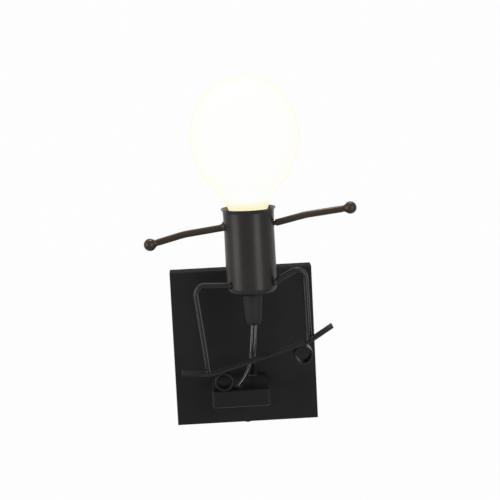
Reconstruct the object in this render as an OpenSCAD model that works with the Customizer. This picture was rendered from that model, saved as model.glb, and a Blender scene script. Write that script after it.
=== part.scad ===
// Wall light: a stick figure of rods and a cup rides a skateboard on a box arm.
// The origin is at the middle of the canopy's back, on the wall. The light stands
// out towards -Y, +Z is up and +X is to the right of someone who faces the wall.

/* [Wall canopy] */
// Width of the canopy
canopy_w = 129; // [110:1:150]
// Height of the canopy
canopy_h = 142; // [130:1:165]
// Depth of the canopy, from the wall to its front
canopy_d = 20; // [20:0.5:26]
// Sheet thickness of the canopy
canopy_wall = 1.2; // [0.8:0.1:1.6]
// Outer radius of the folded front edges
canopy_edge_r = 1.6; // [1:0.1:3]

/* [Wall bracket] */
// Width of the bracket strap
bracket_w = 20; // [18:1:28]
// Thickness of the bracket strap
bracket_t = 2; // [1.5:0.1:2.5]
// How far the bent tabs stand out from the wall
bracket_tab = 15; // [14:0.5:17]
// Distance between the middles of the two fixing slots
fixing_spacing = 90; // [86:1:100]
// Width of a fixing slot
fixing_slot_w = 4.5; // [4:0.1:5.5]
// Length of a fixing slot from end to end
fixing_slot_len = 10; // [8:0.5:11]
// Gap between a bent tab and the canopy
bracket_clear = 0.3; // [0.1:0.1:0.6]

/* [Screws] */
// Thread diameter of the canopy screws and the earth screw
screw_d = 4; // [3:0.1:5]
// Diameter of their pan heads
screw_head_d = 7; // [6.4:0.1:8]
// Height of their pan heads
screw_head_h = 2.2; // [1.6:0.1:2.6]
// Distance of the canopy screws from the wall
screw_out = 10; // [9:0.5:11]
// Radial gap round a screw in its hole
screw_clear = 0.15; // [0.05:0.05:0.3]

/* [Support arm] */
// Width of the support arm
support_w = 50; // [46:1:60]
// Height of the support arm
support_h = 15; // [14:0.5:20]
// Length of the support arm in front of the canopy
support_len = 69.5; // [60:0.5:80]
// Sheet thickness of the support arm
support_wall = 1.5; // [1:0.1:2]
// Outer radius of the support arm's edges
support_edge_r = 2; // [1.6:0.1:3]
// Place of the support arm's middle to the right of the canopy's middle
support_x = -6.3; // [-10:0.1:0]
// Height of the support arm's top face
support_top_z = -25; // [-28:0.5:-20]

/* [Skateboard] */
// Width of the board
board_w = 16; // [12:0.5:18]
// Thickness of the board
board_t = 1.8; // [1.5:0.1:3]
// Slope of the board's straight part, right end up
board_tilt = 15.8; // [10:0.1:22]
// Distance from the left wheel's middle to the left bend, along the board
left_bend = 7.8; // [6:0.1:14]
// Distance from the right wheel's middle to the right bend, along the board
right_bend = 8.1; // [6:0.1:14]
// Length of the left kicked-up end
left_kick = 26.7; // [20:0.1:32]
// Angle of the left kicked-up end
left_kick_angle = 20.3; // [12:0.1:30]
// Length of the right kicked-up end
right_kick = 25; // [18:0.1:32]
// Angle of the right kicked-up end
right_kick_angle = 15.7; // [8:0.1:24]
// Bend radius in the middle of the board's thickness
board_bend_r = 18; // [10:0.5:22]
// Outer diameter of a wheel
wheel_d = 16.4; // [14:0.1:18]
// Wall of a wheel
wheel_wall = 1.7; // [1.2:0.1:3]
// Length of a wheel along its axis
wheel_len = 16; // [10:0.5:18]
// Place of the left wheel's middle to the right of the canopy's middle
left_wheel_x = -20.4; // [-24:0.1:-18]
// Distance between the wheels' middles along the board
wheelbase = 73.2; // [66:0.1:80]
// Depth of the flat on a wheel where it is welded
weld_flat = 0.15; // [0.1:0.05:0.3]

/* [Cup] */
// Place of the cup's axis to the right of the canopy's middle
cup_x = 8.5; // [6:0.1:10]
// Distance of the cup's axis from the wall
cup_out = 68; // [65:0.5:72]
// Height of the cup's underside
cup_z = 57.4; // [55:0.1:60]
// Height of the cup
cup_h = 74.3; // [70:0.1:80]
// Outer diameter of the cup above its rounded bottom edge
cup_bottom_d = 44.1; // [43.5:0.1:47]
// Outer diameter of the cup below its lip
cup_top_d = 43.3; // [43:0.1:46]
// Outer diameter of the flared lip
cup_lip_d = 47.5; // [46:0.1:50]
// Height over which the lip flares
cup_lip_h = 5; // [3:0.1:8]
// Wall of the cup
cup_wall = 1.1; // [0.8:0.1:1.4]
// Radius of the cup's rounded bottom edge
cup_edge_r = 6; // [4:0.5:8]

/* [Arms and hands] */
// Diameter of the arm rods
arm_d = 6; // [5:0.1:7]
// Diameter of the turned-down spigot at the inner end of an arm
spigot_d = 4; // [3:0.1:4.5]
// Bend radius of the elbows
elbow_r = 60; // [30:1:90]
// Height on the cup's axis that the left arm points at
left_shoulder_z = 119; // [116:0.1:122]
// Length from the cup's axis to the left elbow
left_upper_arm = 57.7; // [50:0.1:66]
// Downward slope of the left upper arm
left_upper_slope = 6.9; // [0:0.1:12]
// Length from the left elbow to the middle of the hand
left_forearm = 30.8; // [26:0.1:44]
// Downward slope of the left forearm
left_fore_slope = 14.1; // [4:0.1:20]
// Bare length of the left spigot outside the cup
left_neck = 0.4; // [0.2:0.1:2]
// Height on the cup's axis that the right arm points at
right_shoulder_z = 113.1; // [110:0.1:118]
// Length from the cup's axis to the right elbow
right_upper_arm = 51.4; // [46:0.1:60]
// Upward slope of the right upper arm
right_upper_slope = 12; // [6:0.1:18]
// Length from the right elbow to the middle of the hand
right_forearm = 39.3; // [30:0.1:46]
// Upward slope of the right forearm
right_fore_slope = 6; // [0:0.1:14]
// Bare length of the right spigot outside the cup
right_neck = 1.4; // [0.2:0.1:2]
// Diameter of a ball hand
hand_d = 11; // [9.5:0.1:13]
// Diameter of the neck between an arm and its hand
hand_neck_d = 4.8; // [4.4:0.1:5.4]
// Bare length of that neck
hand_neck = 1.6; // [0.8:0.1:3]
// Diameter of the hand's stud inside the arm
stud_d = 3.6; // [3:0.1:4]
// Length of the stud
stud_len = 8; // [5:0.5:12]

/* [Legs] */
// Diameter of the leg rods
leg_d = 5.1; // [4.5:0.1:6]
// Distance of the legs in front of the cup's axis
leg_forward = 11; // [9:0.5:13]
// Bend radius of the knees
knee_r = 7.5; // [6:0.5:10]
// Height where the left thigh meets the cup
left_hip_z = 66.2; // [65:0.1:71]
// Place of the left knee, to the right of the canopy's middle
left_knee_x = -41.3; // [-48:0.1:-36]
// Height of the left knee
left_knee_z = 67.8; // [62:0.1:76]
// Place of the left foot along the board, to the left of the left wheel
left_foot = 10.2; // [6:0.1:13]
// Height where the right thigh meets the cup
right_hip_z = 67.3; // [65:0.1:71]
// Place of the right knee, to the right of the canopy's middle
right_knee_x = 54.8; // [48:0.1:60]
// Height of the right knee
right_knee_z = 82; // [76:0.1:90]
// Place of the right foot along the board, to the right of the right wheel
right_foot = 8.8; // [5:0.1:12]
// Gap filled by the weld between a leg and the cup
cope_clear = 0.1; // [0.05:0.05:0.2]

/* [Cord grip and nipple] */
// Length of the cord grip
grip_len = 28.6; // [26:0.1:31]
// Diameter of the cord grip at the cup
grip_top_d = 17.6; // [16:0.1:19]
// Diameter of the cord grip where its end starts to round in
grip_shoulder_d = 15.2; // [14.6:0.1:16]
// Length of the rounded end
grip_round = 9; // [6:0.5:12]
// Diameter of the cord grip's mouth end
grip_mouth_d = 9.4; // [9.2:0.1:12]
// Diameter of the lead passage
lead_bore = 7.4; // [7:0.1:8]
// Outer diameter of the threaded nipple
nipple_d = 10; // [9.4:0.1:10.4]
// How far the nipple reaches into the cord grip
nipple_in_grip = 8.3; // [6:0.1:12]
// Width of the lock nut across its flats
nut_af = 14; // [13:0.5:17]
// Thickness of the lock nut
nut_h = 3; // [2:0.1:4]
// Radial gap of a thread that isn't cut
thread_clear = 0.05; // [0.03:0.01:0.1]
// Diameter of the screw that clamps the leads
grip_screw_d = 4; // [3:0.1:4.4]

/* [Lampholder] */
// Outer diameter of the lampholder
holder_d = 37; // [36:0.1:37.8]
// Height of the lampholder's base
holder_base_h = 25.6; // [24:0.1:27]
// Thickness of the base's floor
holder_floor = 4; // [3:0.1:5]
// Diameter of the base's cavity
holder_cavity_d = 29; // [28:0.1:30]
// Diameter of the ceramic insert
insert_d = 32; // [31:0.1:33]
// Thickness of the ceramic insert
insert_h = 10; // [9:0.1:11]
// How far the insert stands above the base's rim
insert_proud = 4; // [3:0.1:5]
// Length of the lampholder's sleeve
sleeve_len = 29; // [26:0.1:30]
// Inner diameter of the thread shell
shell_bore = 27.2; // [27:0.1:27.6]
// Sheet thickness of the thread shell
shell_t = 0.5; // [0.4:0.05:0.6]
// Length of the thread shell
shell_len = 23; // [20:0.1:24]
// Gap between the lampholder's pieces
holder_clear = 0.1; // [0.05:0.05:0.2]
// Width of the centre contact
contact_w = 6; // [5:0.1:7]
// Sheet thickness of the centre contact
contact_t = 0.5; // [0.4:0.05:0.7]
// Gap below the bulb's tip
contact_clear = 0.3; // [0.2:0.05:0.5]

/* [Bulb] */
// Largest diameter of the globe
globe_d = 95; // [88:0.5:100]
// Half of the globe's height, from its widest ring to its top
globe_half_h = 54; // [48:0.5:58]
// Height from the bulb's tip to the globe's widest ring
globe_rise = 96.8; // [92:0.1:102]
// Wall of the globe
globe_wall = 1.2; // [0.8:0.1:2]
// Diameter of the globe's neck where it meets the cap
neck_d = 28.4; // [28:0.1:29]
// Diameter of the cap's threaded part
cap_d = 26.2; // [25.8:0.1:26.4]
// Diameter of the cap's plain upper rim
cap_rim_d = 26.8; // [26.6:0.1:26.9]
// Height from the bulb's tip to the cap's upper rim
cap_h = 27; // [26:0.1:28]
// Sheet thickness of the cap
cap_t = 0.4; // [0.3:0.05:0.5]
// Diameter of the bulb's tip
tip_d = 9.4; // [8.5:0.1:10]
// Height of the bulb's tip
tip_h = 1.6; // [1.2:0.1:2]
// Height of the black insulator
insulator_h = 4.2; // [3.6:0.1:5]
// Diameter of the insulator's upper end
insulator_d = 22; // [21:0.1:22.6]
// Diameter of the LED board
led_board_d = 24; // [20:0.5:24.6]
// Thickness of the LED board
led_board_t = 1.6; // [1:0.1:2]
// Height from the cap's rim to the LED board
led_rise = 6; // [4:0.5:8]

/* [Leads and terminals] */
// Diameter of an insulated lead
lead_d = 2.8; // [2.6:0.1:3.3]
// Diameter of the hole for a grommet
grommet_hole_d = 7.2; // [6.8:0.1:7.6]
// Diameter of a grommet's flanges
grommet_flange_d = 9.6; // [9:0.1:10.4]
// Thickness of a grommet's flanges
grommet_flange_t = 0.9; // [0.7:0.1:1.2]
// Bore of a grommet
grommet_bore = 4.8; // [4.6:0.1:5.4]
// Gap round a grommet's body
grommet_clear = 0.1; // [0.05:0.05:0.2]
// Distance between the poles of the terminal block
pole_pitch = 9.5; // [9.2:0.1:10]
// Height of the terminal block
block_h = 16; // [14:0.5:17]
// Depth of the terminal block's body, without its screw towers
block_d = 9; // [8.4:0.1:9.6]
// Height of the terminal block's screw towers
tower_h = 3.4; // [2:0.1:3.8]
// Outer diameter of a terminal barrel
barrel_d = 4.6; // [4.2:0.1:5]
// Bore of a terminal barrel
barrel_bore = 3; // [2.6:0.1:3.2]
// Depth of the recess that takes a lead's end
lead_recess = 2; // [1.5:0.1:2.5]
// Diameter of a terminal screw
terminal_screw_d = 2.6; // [2.2:0.1:3]

/* [Hidden] */
$fn = 64;
big = 200;
cup_y = -cup_out;
leg_y = cup_y - leg_forward;
canopy_front = -canopy_d;
canopy_inside = -canopy_d + canopy_wall;
support_front = canopy_front - support_len;
board_y = support_front + board_w / 2;

// Board: u runs along its straight part and v stands square to it, from the left wheel
wheel_r = wheel_d / 2;
left_wheel_z = support_top_z + wheel_r - weld_flat;
board_v = wheel_r - weld_flat + board_t / 2;
function board_point(u, v) = [
    left_wheel_x + u * cos(board_tilt) - v * sin(board_tilt),
    left_wheel_z + u * sin(board_tilt) + v * cos(board_tilt)];

// Cup: the wall leans from the rounded bottom edge to the flared lip
cup_top = cup_z + cup_h;
cup_floor = cup_z + cup_wall;
flare_z = cup_top - cup_lip_h;
flare_out = (cup_lip_d - cup_top_d) / 2;
flare_angle = 2 * atan(flare_out / cup_lip_h);
flare_r = cup_lip_h / sin(flare_angle);
wall_slope = (cup_top_d - cup_bottom_d) / 2 / (flare_z - cup_z - cup_edge_r);
function cup_r(z) = cup_bottom_d / 2 + wall_slope * (z - cup_z - cup_edge_r);

// Heights of the lampholder's stack, from the cup's floor up to the bulb's tip
holder_z = cup_floor + nut_h;
base_top = holder_z + holder_base_h;
insert_top = base_top + insert_proud;
insert_bottom = insert_top - insert_h;
contact_rise = 5.6;
tip_z = insert_top + contact_rise + contact_clear;
cap_rim_z = tip_z + cap_h;
globe_z = tip_z + globe_rise;
nipple_bottom = cup_z - nipple_in_grip;
nipple_top = holder_z + holder_floor + 0.6;
holder_terminal_x = 8;
holder_terminal_h = 4;
sleeve_top = base_top + sleeve_len;

// Terminal block, on the bracket above the middle of the wall plate
block_z = 20;
block_w = 3 * pole_pitch;
barrel_y = -bracket_t - 4.5;
poles = [-pole_pitch, 0, pole_pitch];
block_screw_x = pole_pitch / 2;
block_screw_d = 3;
block_screw_head_d = 3.9;
block_screw_sunk = 4;
earth_x = 6;
earth_z = -34;
tag_t = 0.8;

// Where the leads go through the support arm's top, and their routes: from a terminal
// of the lampholder into the cord grip, down behind the board and on to the canopy
front_grommet = [-8.8, -72.5];
rear_grommet = [5.5, -30.5];
lead_side = 1.45;
function in_the_cup(side) = concat(
    [for (p = [[8, 15.2], [7.5, 12.8], [6.1, 10.4], [3.6, 7.8], [2, 5.4], [lead_side, 2.6]])
        [cup_x + side * p[0], cup_y, holder_z + p[1]]],
    [for (i = [0 : 3]) [cup_x + side * lead_side, cup_y, cup_z - 2.3 - (grip_len - 2.8) * i / 3]]);
live_route = concat(in_the_cup(-1), [
    [6.6, -68, 22.6], [5.9, -68, 15.1], [5, -68, 6.7], [4.2, -67.7, -0.8], [2.9, -67.6, -7.2],
    [0.9, -67.9, -11.8], [-1.5, -68.6, -16.1], [-3.9, -69.8, -19.6], [-6.4, -71.2, -22.4],
    [-8.3, -72.2, -25], [-8.8, -72.5, -27.8], [-8.8, -71.6, -30.6], [-8.8, -69, -32.6],
    [-8.8, -64.5, -33.2], [-8.8, -54, -33.2], [-8.8, -42, -33.2], [-9, -30, -33.2],
    [-9.2, -21.6, -32.8], [-9.4, -15.8, -30.2], [-9.5, -11.6, -25.4], [-9.5, -9.4, -19],
    [-9.5, -8, -10.4], [-9.5, -7, 0], [-9.5, -6.5, 10], [-9.5, -6.5, 21.4]]);
neutral_route = concat(in_the_cup(1), [
    [9.5, -68, 22.6], [8.8, -68, 15.1], [7.9, -67.8, 6.7], [7.1, -66.8, -0.8], [6.6, -63.6, -6.7],
    [6.2, -57.8, -11], [5.8, -50.2, -14.2], [5.6, -42.8, -16.6], [5.5, -36.4, -18.9],
    [5.5, -32.6, -21.7], [5.5, -30.9, -24.9], [5.5, -30.5, -27.7], [5.5, -29.4, -30.5],
    [5.3, -26.8, -32.5], [4.5, -22.2, -33.1], [3.1, -17.4, -31.7], [1.6, -13.6, -27.8],
    [0.6, -10.9, -22], [0, -9.1, -14], [0, -7.7, -5], [0, -6.7, 5], [0, -6.5, 13], [0, -6.5, 21.4]]);
earth_route = [
    [9.5, -6.5, 21.4], [9.5, -6.5, 12], [9.2, -6.2, 4], [8.2, -5.6, -5], [7, -5, -14],
    [6.2, -4.6, -20], [6, -4.5, -25]];

black_coat = "#1d1d1f";
black_plastic = "#242527";
black_pvc = "#141416";
zinc = "#b9bcc0";
brass = "#c9a65a";
ceramic = "#e6e2d8";
phenolic = "#2a2623";

function unit(v) = v / norm(v);
function backwards(points) = [for (i = [len(points) - 1 : -1 : 0]) points[i]];
function arc(centre, r, from, to, steps) =
    [for (i = [0 : steps]) let (a = from + (to - from) * i / steps)
        centre + r * [cos(a), sin(a)]];
function bezier(a, b, c, d, steps) =
    [for (i = [0 : steps]) let (t = i / steps)
        a * pow(1 - t, 3) + b * 3 * t * pow(1 - t, 2) + c * 3 * t * t * (1 - t) + d * pow(t, 3)];

// A rectangle with two corners rounded at its low-y side
module front_rounded(w, d, r)
    polygon(concat(arc([-w / 2 + r, -d + r], r, 180, 270, 6), arc([w / 2 - r, -d + r], r, 270, 360, 6),
        [[w / 2, 0], [-w / 2, 0]]));

// A rectangle with all its corners rounded
module rounded(w, h, r)
    polygon([for (q = [0 : 3])
        each arc([(q == 0 || q == 3 ? 1 : -1) * (w / 2 - r), (q < 2 ? 1 : -1) * (h / 2 - r)],
            r, 90 * q, 90 * q + 90, 6)]);

// A box from y = 0 to y = -d, with its front edges folded to a radius
module folded_box(w, h, d, r)
    intersection() {
        translate([0, 0, -h / 2])
            linear_extrude(h)
                front_rounded(w, d, r);
        rotate([0, -90, 0])
            translate([0, 0, -w / 2])
                linear_extrude(w)
                    front_rounded(h, d, r);
    }

// A turned piece on the cup's axis, from its half outline
module on_cup_axis()
    translate([cup_x, cup_y, 0])
        children();

// A straight rod in the XZ plane, between two points
module rod(from, to, d)
    translate([from[0], 0, from[1]])
        rotate([0, atan2(to[0] - from[0], to[1] - from[1]), 0])
            cylinder(h = norm(to - from), d = d);

// A rod in the XZ plane with one bend at its middle point. The bend swells by a
// hair, so that the straight parts end inside it.
bend_swell = 0.02;
bend_lap = 0.3;
module bent_rod(from, bend, to, d, r) {
    a = unit(from - bend);
    b = unit(to - bend);
    half = acos(a * b) / 2;
    reach = r / tan(half);
    start = bend + a * reach;
    end = bend + b * reach;
    centre = bend + unit(a + b) * r / sin(half);
    start_angle = atan2(start[1] - centre[1], start[0] - centre[0]);
    end_angle = atan2(end[1] - centre[1], end[0] - centre[0]);
    sweep = (end_angle - start_angle + 540) % 360 - 180;
    rod(from, start - a * bend_lap, d);
    rod(end - b * bend_lap, to, d);
    translate([centre[0], 0, centre[1]])
        rotate([90, 0, 0])
            rotate(sweep > 0 ? start_angle : end_angle)
                rotate_extrude(angle = abs(sweep))
                    translate([r, 0])
                        circle(d = d + bend_swell);
}

// A tube along a route, one eight-sided ring at each point, with ends square to it
lead_sides = 8;
module lead_tube(route, d) {
    last = len(route) - 1;
    heading = [for (i = [0 : last]) unit(route[min(i + 1, last)] - route[max(i - 1, 0)])];
    across = [for (i = [0 : last]) unit(cross(heading[i], [1, 0.01, 0.02]))];
    points = [for (i = [0 : last]) for (s = [0 : lead_sides - 1])
        let (a = 360 * s / lead_sides)
            route[i] + d / 2 * (across[i] * cos(a) + cross(heading[i], across[i]) * sin(a))];
    walls = [for (i = [0 : last - 1]) for (s = [0 : lead_sides - 1])
        let (p = i * lead_sides + s, q = i * lead_sides + (s + 1) % lead_sides)
            each [[p, p + lead_sides, q], [q, p + lead_sides, q + lead_sides]]];
    low_cap = [for (s = [1 : lead_sides - 2]) [0, s, s + 1]];
    high_cap = [for (s = [1 : lead_sides - 2])
        [last * lead_sides, last * lead_sides + s + 1, last * lead_sides + s]];
    polyhedron(points, concat(walls, low_cap, high_cap));
}

// A pan-head screw along +Z, head up, with the underside of its head at z = 0
module pan_screw(d, head_d, head_h, length) {
    crown = head_h * 0.45;
    rotate_extrude()
        polygon(concat([[0, -length], [d / 2, -length], [d / 2, 0], [head_d / 2, 0]],
            arc([head_d / 2 - crown, head_h - crown], crown, 0, 90, 5), [[0, head_h]]));
}

// Folded sheet box, open at the wall, with the hole that takes the support arm
module canopy()
    color(black_coat)
        difference() {
            folded_box(canopy_w, canopy_h, canopy_d, canopy_edge_r);
            translate([-canopy_w / 2 + canopy_wall, canopy_inside, -canopy_h / 2 + canopy_wall])
                cube([canopy_w - 2 * canopy_wall, canopy_d, canopy_h - 2 * canopy_wall]);
            support_duct(canopy_inside + 1, canopy_wall + 2);
            translate([0, -screw_out, -big / 2])
                cylinder(h = big, r = screw_d / 2 + screw_clear);
        }

// Strap on the wall, with two fixing slots and a bent tab at each end
module wall_bracket() {
    strap_h = canopy_h - 2 * canopy_wall - 2 * bracket_clear;
    slot_run = fixing_slot_len - fixing_slot_w;
    color(zinc)
        difference() {
            union() {
                translate([-bracket_w / 2, -bracket_t, -strap_h / 2])
                    cube([bracket_w, bracket_t, strap_h]);
                for (z = [-strap_h / 2, strap_h / 2 - bracket_t])
                    translate([-bracket_w / 2, -bracket_tab, z])
                        cube([bracket_w, bracket_tab, bracket_t]);
            }
            for (z = [-fixing_spacing / 2, fixing_spacing / 2]) {
                translate([-fixing_slot_w / 2, -bracket_t - 1, z - slot_run / 2])
                    cube([fixing_slot_w, bracket_t + 2, slot_run]);
                for (end = [-slot_run / 2, slot_run / 2])
                    translate([0, 1, z + end])
                        rotate([90, 0, 0])
                            cylinder(h = bracket_t + 2, d = fixing_slot_w);
            }
            translate([0, -screw_out, -big / 2])
                cylinder(h = big, r = screw_d / 2 + thread_clear);
            translate([block_screw_x, 1, block_z + block_h / 2])
                rotate([90, 0, 0])
                    cylinder(h = bracket_t + 2, r = block_screw_d / 2 + thread_clear);
            translate([earth_x, 1, earth_z])
                rotate([90, 0, 0])
                    cylinder(h = bracket_t + 2, r = screw_d / 2 + thread_clear);
        }
}

// One screw through the canopy's top and one through its bottom
module canopy_screws()
    color(black_coat)
        for (flip = [0, 180])
            translate([0, -screw_out, 0])
                rotate([flip, 0, 0])
                    translate([0, 0, canopy_h / 2])
                        pan_screw(screw_d, screw_head_d, screw_head_h, canopy_wall + bracket_t + 3);

// Earth screw in the bracket, over the ring of the earth tag
module earth_screw()
    color(zinc)
        translate([earth_x, -bracket_t - tag_t, earth_z])
            rotate([90, 0, 0])
                pan_screw(screw_d, screw_head_d, screw_head_h, bracket_t + tag_t - 0.2);

// Ring tag with a crimped barrel that holds the earth lead's end
module earth_tag() {
    tag_ring_d = 8;
    crimp_z = earth_route[len(earth_route) - 1][2];
    crimp_y = earth_route[len(earth_route) - 1][1];
    crimp_d = lead_d + 1.2;
    color(zinc) {
        difference() {
            union() {
                translate([earth_x, -bracket_t, earth_z])
                    rotate([90, 0, 0])
                        cylinder(h = tag_t, d = tag_ring_d);
                translate([earth_x - 2, -bracket_t - tag_t, earth_z])
                    cube([4, tag_t, crimp_z - earth_z]);
                translate([earth_x, crimp_y, crimp_z - 3.6])
                    cylinder(h = 3.4, d = crimp_d);
            }
            translate([earth_x, 0, earth_z])
                rotate([90, 0, 0])
                    cylinder(h = 5, r = screw_d / 2 + screw_clear);
        }
    }
}

// Insulated earth lead, from the terminal block to the earth tag
module earth_lead()
    color("#7d9a2c")
        lead_tube(earth_route, lead_d);

// Moulded three-pole block with a tower round each terminal screw
module terminal_block() {
    recess_d = lead_d + 0.4;
    color(ceramic)
        difference() {
            union() {
                for (x = poles)
                    translate([x - pole_pitch / 2 + 0.3, -bracket_t - block_d, block_z])
                        cube([pole_pitch - 0.6, block_d, block_h]);
                translate([-block_w / 2 + 0.3, -bracket_t - 2.6, block_z + 2])
                    cube([block_w - 0.6, 2.6, block_h - 4]);
                translate([block_screw_x, -bracket_t, block_z + block_h / 2])
                    rotate([90, 0, 0])
                        cylinder(h = block_screw_sunk, d = block_screw_head_d + 2);
                for (x = poles)
                    for (z = terminal_heights())
                        translate([x, -bracket_t - block_d, z])
                            rotate([90, 0, 0])
                                cylinder(h = tower_h, d = terminal_screw_d + 3);
            }
            for (x = poles) {
                translate([x, barrel_y, block_z + lead_recess])
                    cylinder(h = block_h - 2 * lead_recess, d = barrel_d + 0.1);
                translate([x, barrel_y, block_z - 1])
                    cylinder(h = block_h + 2, d = recess_d);
                for (z = terminal_heights())
                    translate([x, barrel_y, z])
                        rotate([90, 0, 0])
                            cylinder(h = block_d + tower_h, d = terminal_screw_d + 0.4);
            }
            translate([block_screw_x, 1, block_z + block_h / 2])
                rotate([90, 0, 0])
                    cylinder(h = block_d + 2, r = block_screw_d / 2 + screw_clear);
            translate([block_screw_x, -bracket_t - block_screw_sunk, block_z + block_h / 2])
                rotate([90, 0, 0])
                    cylinder(h = block_d, d = block_screw_head_d + 0.4);
        }
}
function terminal_heights() = [block_z + block_h / 2 - 3, block_z + block_h / 2 + 3];

// Brass barrels inside the block, one for each pole
module terminal_barrels()
    color(brass)
        for (x = poles)
            translate([x, barrel_y, block_z + lead_recess])
                difference() {
                    cylinder(h = block_h - 2 * lead_recess, d = barrel_d);
                    translate([0, 0, -1])
                        cylinder(h = block_h, d = barrel_bore);
                    for (z = terminal_heights())
                        translate([0, 0, z - block_z - lead_recess])
                            rotate([90, 0, 0])
                                cylinder(h = barrel_d, r = terminal_screw_d / 2 + thread_clear);
                }

// Two slotted grub screws in each barrel
module terminal_screws() {
    screw_top = bracket_t + block_d + tower_h - 1.4;
    color(zinc)
        for (x = poles)
            for (z = terminal_heights())
                translate([x, barrel_y - 0.4, z])
                    rotate([90, 0, 0])
                        difference() {
                            cylinder(h = screw_top + barrel_y - 0.4, d = terminal_screw_d);
                            translate([-2, -0.3, screw_top + barrel_y - 1.2])
                                cube([4, 0.6, 2]);
                        }
}

// Screw that holds the terminal block on the bracket
module block_screw()
    color(zinc)
        translate([block_screw_x, -bracket_t - block_screw_sunk, block_z + block_h / 2])
            rotate([90, 0, 0])
                pan_screw(block_screw_d, block_screw_head_d, 1.8, block_screw_sunk + bracket_t - 0.2);

// Closed box section that carries the figure and hides the leads
module support_arm()
    color(black_coat)
        difference() {
            translate([support_x, 0, support_top_z - support_h / 2])
                intersection() {
                    translate([0, canopy_front, 0])
                        folded_box(support_w, support_h, support_len, support_edge_r);
                    translate([0, canopy_front, 0])
                        rotate([90, 0, 0])
                            linear_extrude(support_len)
                                rounded(support_w, support_h, support_edge_r);
                }
            support_duct(canopy_front + 1, support_len - support_wall + 1);
            support_holes();
        }

// The way for the leads, through the canopy's front and along the support arm
module support_duct(from_y, length)
    translate([support_x, from_y, support_top_z - support_h / 2])
        rotate([90, 0, 0])
            linear_extrude(length)
                rounded(support_w - 2 * support_wall, support_h - 2 * support_wall, support_edge_r - support_wall / 2);

// Holes for the two lead grommets
module support_holes()
    for (p = [front_grommet, rear_grommet])
        translate([p[0], p[1], support_top_z - support_wall - 1])
            cylinder(h = support_wall + 2, d = grommet_hole_d);

// Rubber bushes that line the two holes, with a flared mouth
module lead_grommets() {
    body_r = grommet_hole_d / 2 - grommet_clear;
    high = grommet_flange_t;
    low = -support_wall - grommet_flange_t;
    color(black_plastic)
        for (p = [front_grommet, rear_grommet])
            translate([p[0], p[1], support_top_z])
                rotate_extrude()
                    polygon([[grommet_bore / 2, low], [grommet_flange_d / 2, low],
                        [grommet_flange_d / 2, -support_wall], [body_r, -support_wall], [body_r, 0],
                        [grommet_flange_d / 2, 0], [grommet_flange_d / 2 - 0.5, high],
                        [grommet_bore / 2 + 0.8, high], [grommet_bore / 2, 0]]);
}

// Insulated lead to one side of the lampholder, into the front grommet
module live_lead()
    color(black_pvc)
        lead_tube(live_route, lead_d);

// Insulated lead to the other side of the lampholder, into the rear grommet
module neutral_lead()
    color(black_pvc)
        lead_tube(neutral_route, lead_d);

// Outline of the board's middle surface, moved square to it by an offset
function board_line(offset) =
    let (
        left_reach = board_bend_r * tan(left_kick_angle / 2),
        right_reach = board_bend_r * tan(right_kick_angle / 2),
        left_at = [-left_bend, board_v],
        right_at = [wheelbase + right_bend, board_v],
        left_centre = left_at + [left_reach, board_bend_r],
        right_centre = right_at + [-right_reach, board_bend_r],
        left_tip = left_at + left_kick * [-cos(left_kick_angle), sin(left_kick_angle)],
        right_tip = right_at + right_kick * [cos(right_kick_angle), sin(right_kick_angle)])
    concat([left_tip + offset * [sin(left_kick_angle), cos(left_kick_angle)]],
        arc(left_centre, board_bend_r - offset, -90 - left_kick_angle, -90, 6),
        arc(right_centre, board_bend_r - offset, -90, -90 + right_kick_angle, 6),
        [right_tip + offset * [-sin(right_kick_angle), cos(right_kick_angle)]]);

// Turns a flat outline in the board's own u and v into a prism across the board
module across_board(width)
    translate([left_wheel_x, board_y + width / 2, left_wheel_z])
        rotate([0, -board_tilt, 0])
            rotate([90, 0, 0])
                linear_extrude(width)
                    children();

// Bent steel strip with both ends kicked up
module skateboard()
    color(black_coat)
        across_board(board_w)
            polygon(concat(board_line(board_t / 2), backwards(board_line(-board_t / 2))));

// The room that the board takes and everything below it
module board_and_below() {
    top = board_line(board_t / 2);
    across_board(board_w + 2)
        polygon(concat(top, [[top[len(top) - 1][0], -big], [top[0][0], -big]]));
}

// Short tube under the board, flat where it is welded
module wheel(u)
    difference() {
        centre = board_point(u, 0);
        translate([centre[0], board_y + wheel_len / 2, centre[1]])
            rotate([90, 0, 0])
                difference() {
                    cylinder(h = wheel_len, d = wheel_d);
                    translate([0, 0, -1])
                        cylinder(h = wheel_len + 2, d = wheel_d - 2 * wheel_wall);
                }
        across_board(wheel_len + 2)
            translate([u - wheel_d, board_v - board_t / 2])
                square([2 * wheel_d, wheel_d]);
        translate([-big / 2, -big, support_top_z - big])
            cube([big, big, big]);
    }

module left_wheel()
    color(black_coat)
        wheel(0);

module right_wheel()
    color(black_coat)
        wheel(wheelbase);

// A leg: the thigh is coped to the cup, and the foot stands on the board
module leg(side, hip_z, knee, foot_u) {
    cup_reach = cup_r(hip_z) + cope_clear;
    hip_x = cup_x + side * sqrt(cup_reach * cup_reach - leg_forward * leg_forward);
    knee_to_hip = unit([hip_x, hip_z] - knee);
    knee_to_foot = unit(board_point(foot_u, board_v + board_t / 2) - knee);
    hip_in = [hip_x, hip_z] + knee_to_hip * leg_d;
    foot_in = board_point(foot_u, board_v + board_t / 2) + knee_to_foot * leg_d;
    difference() {
        translate([0, leg_y, 0])
            bent_rod(hip_in, knee, foot_in, leg_d, knee_r);
        on_cup_axis()
            translate([0, 0, hip_z - 2 * leg_d])
                cylinder(h = 4 * leg_d, r = cup_bottom_d / 2 + cope_clear);
        board_and_below();
    }
}

module left_leg()
    color(black_coat)
        leg(-1, left_hip_z, [left_knee_x, left_knee_z], -left_foot);

module right_leg()
    color(black_coat)
        leg(1, right_hip_z, [right_knee_x, right_knee_z], wheelbase + right_foot);

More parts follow.
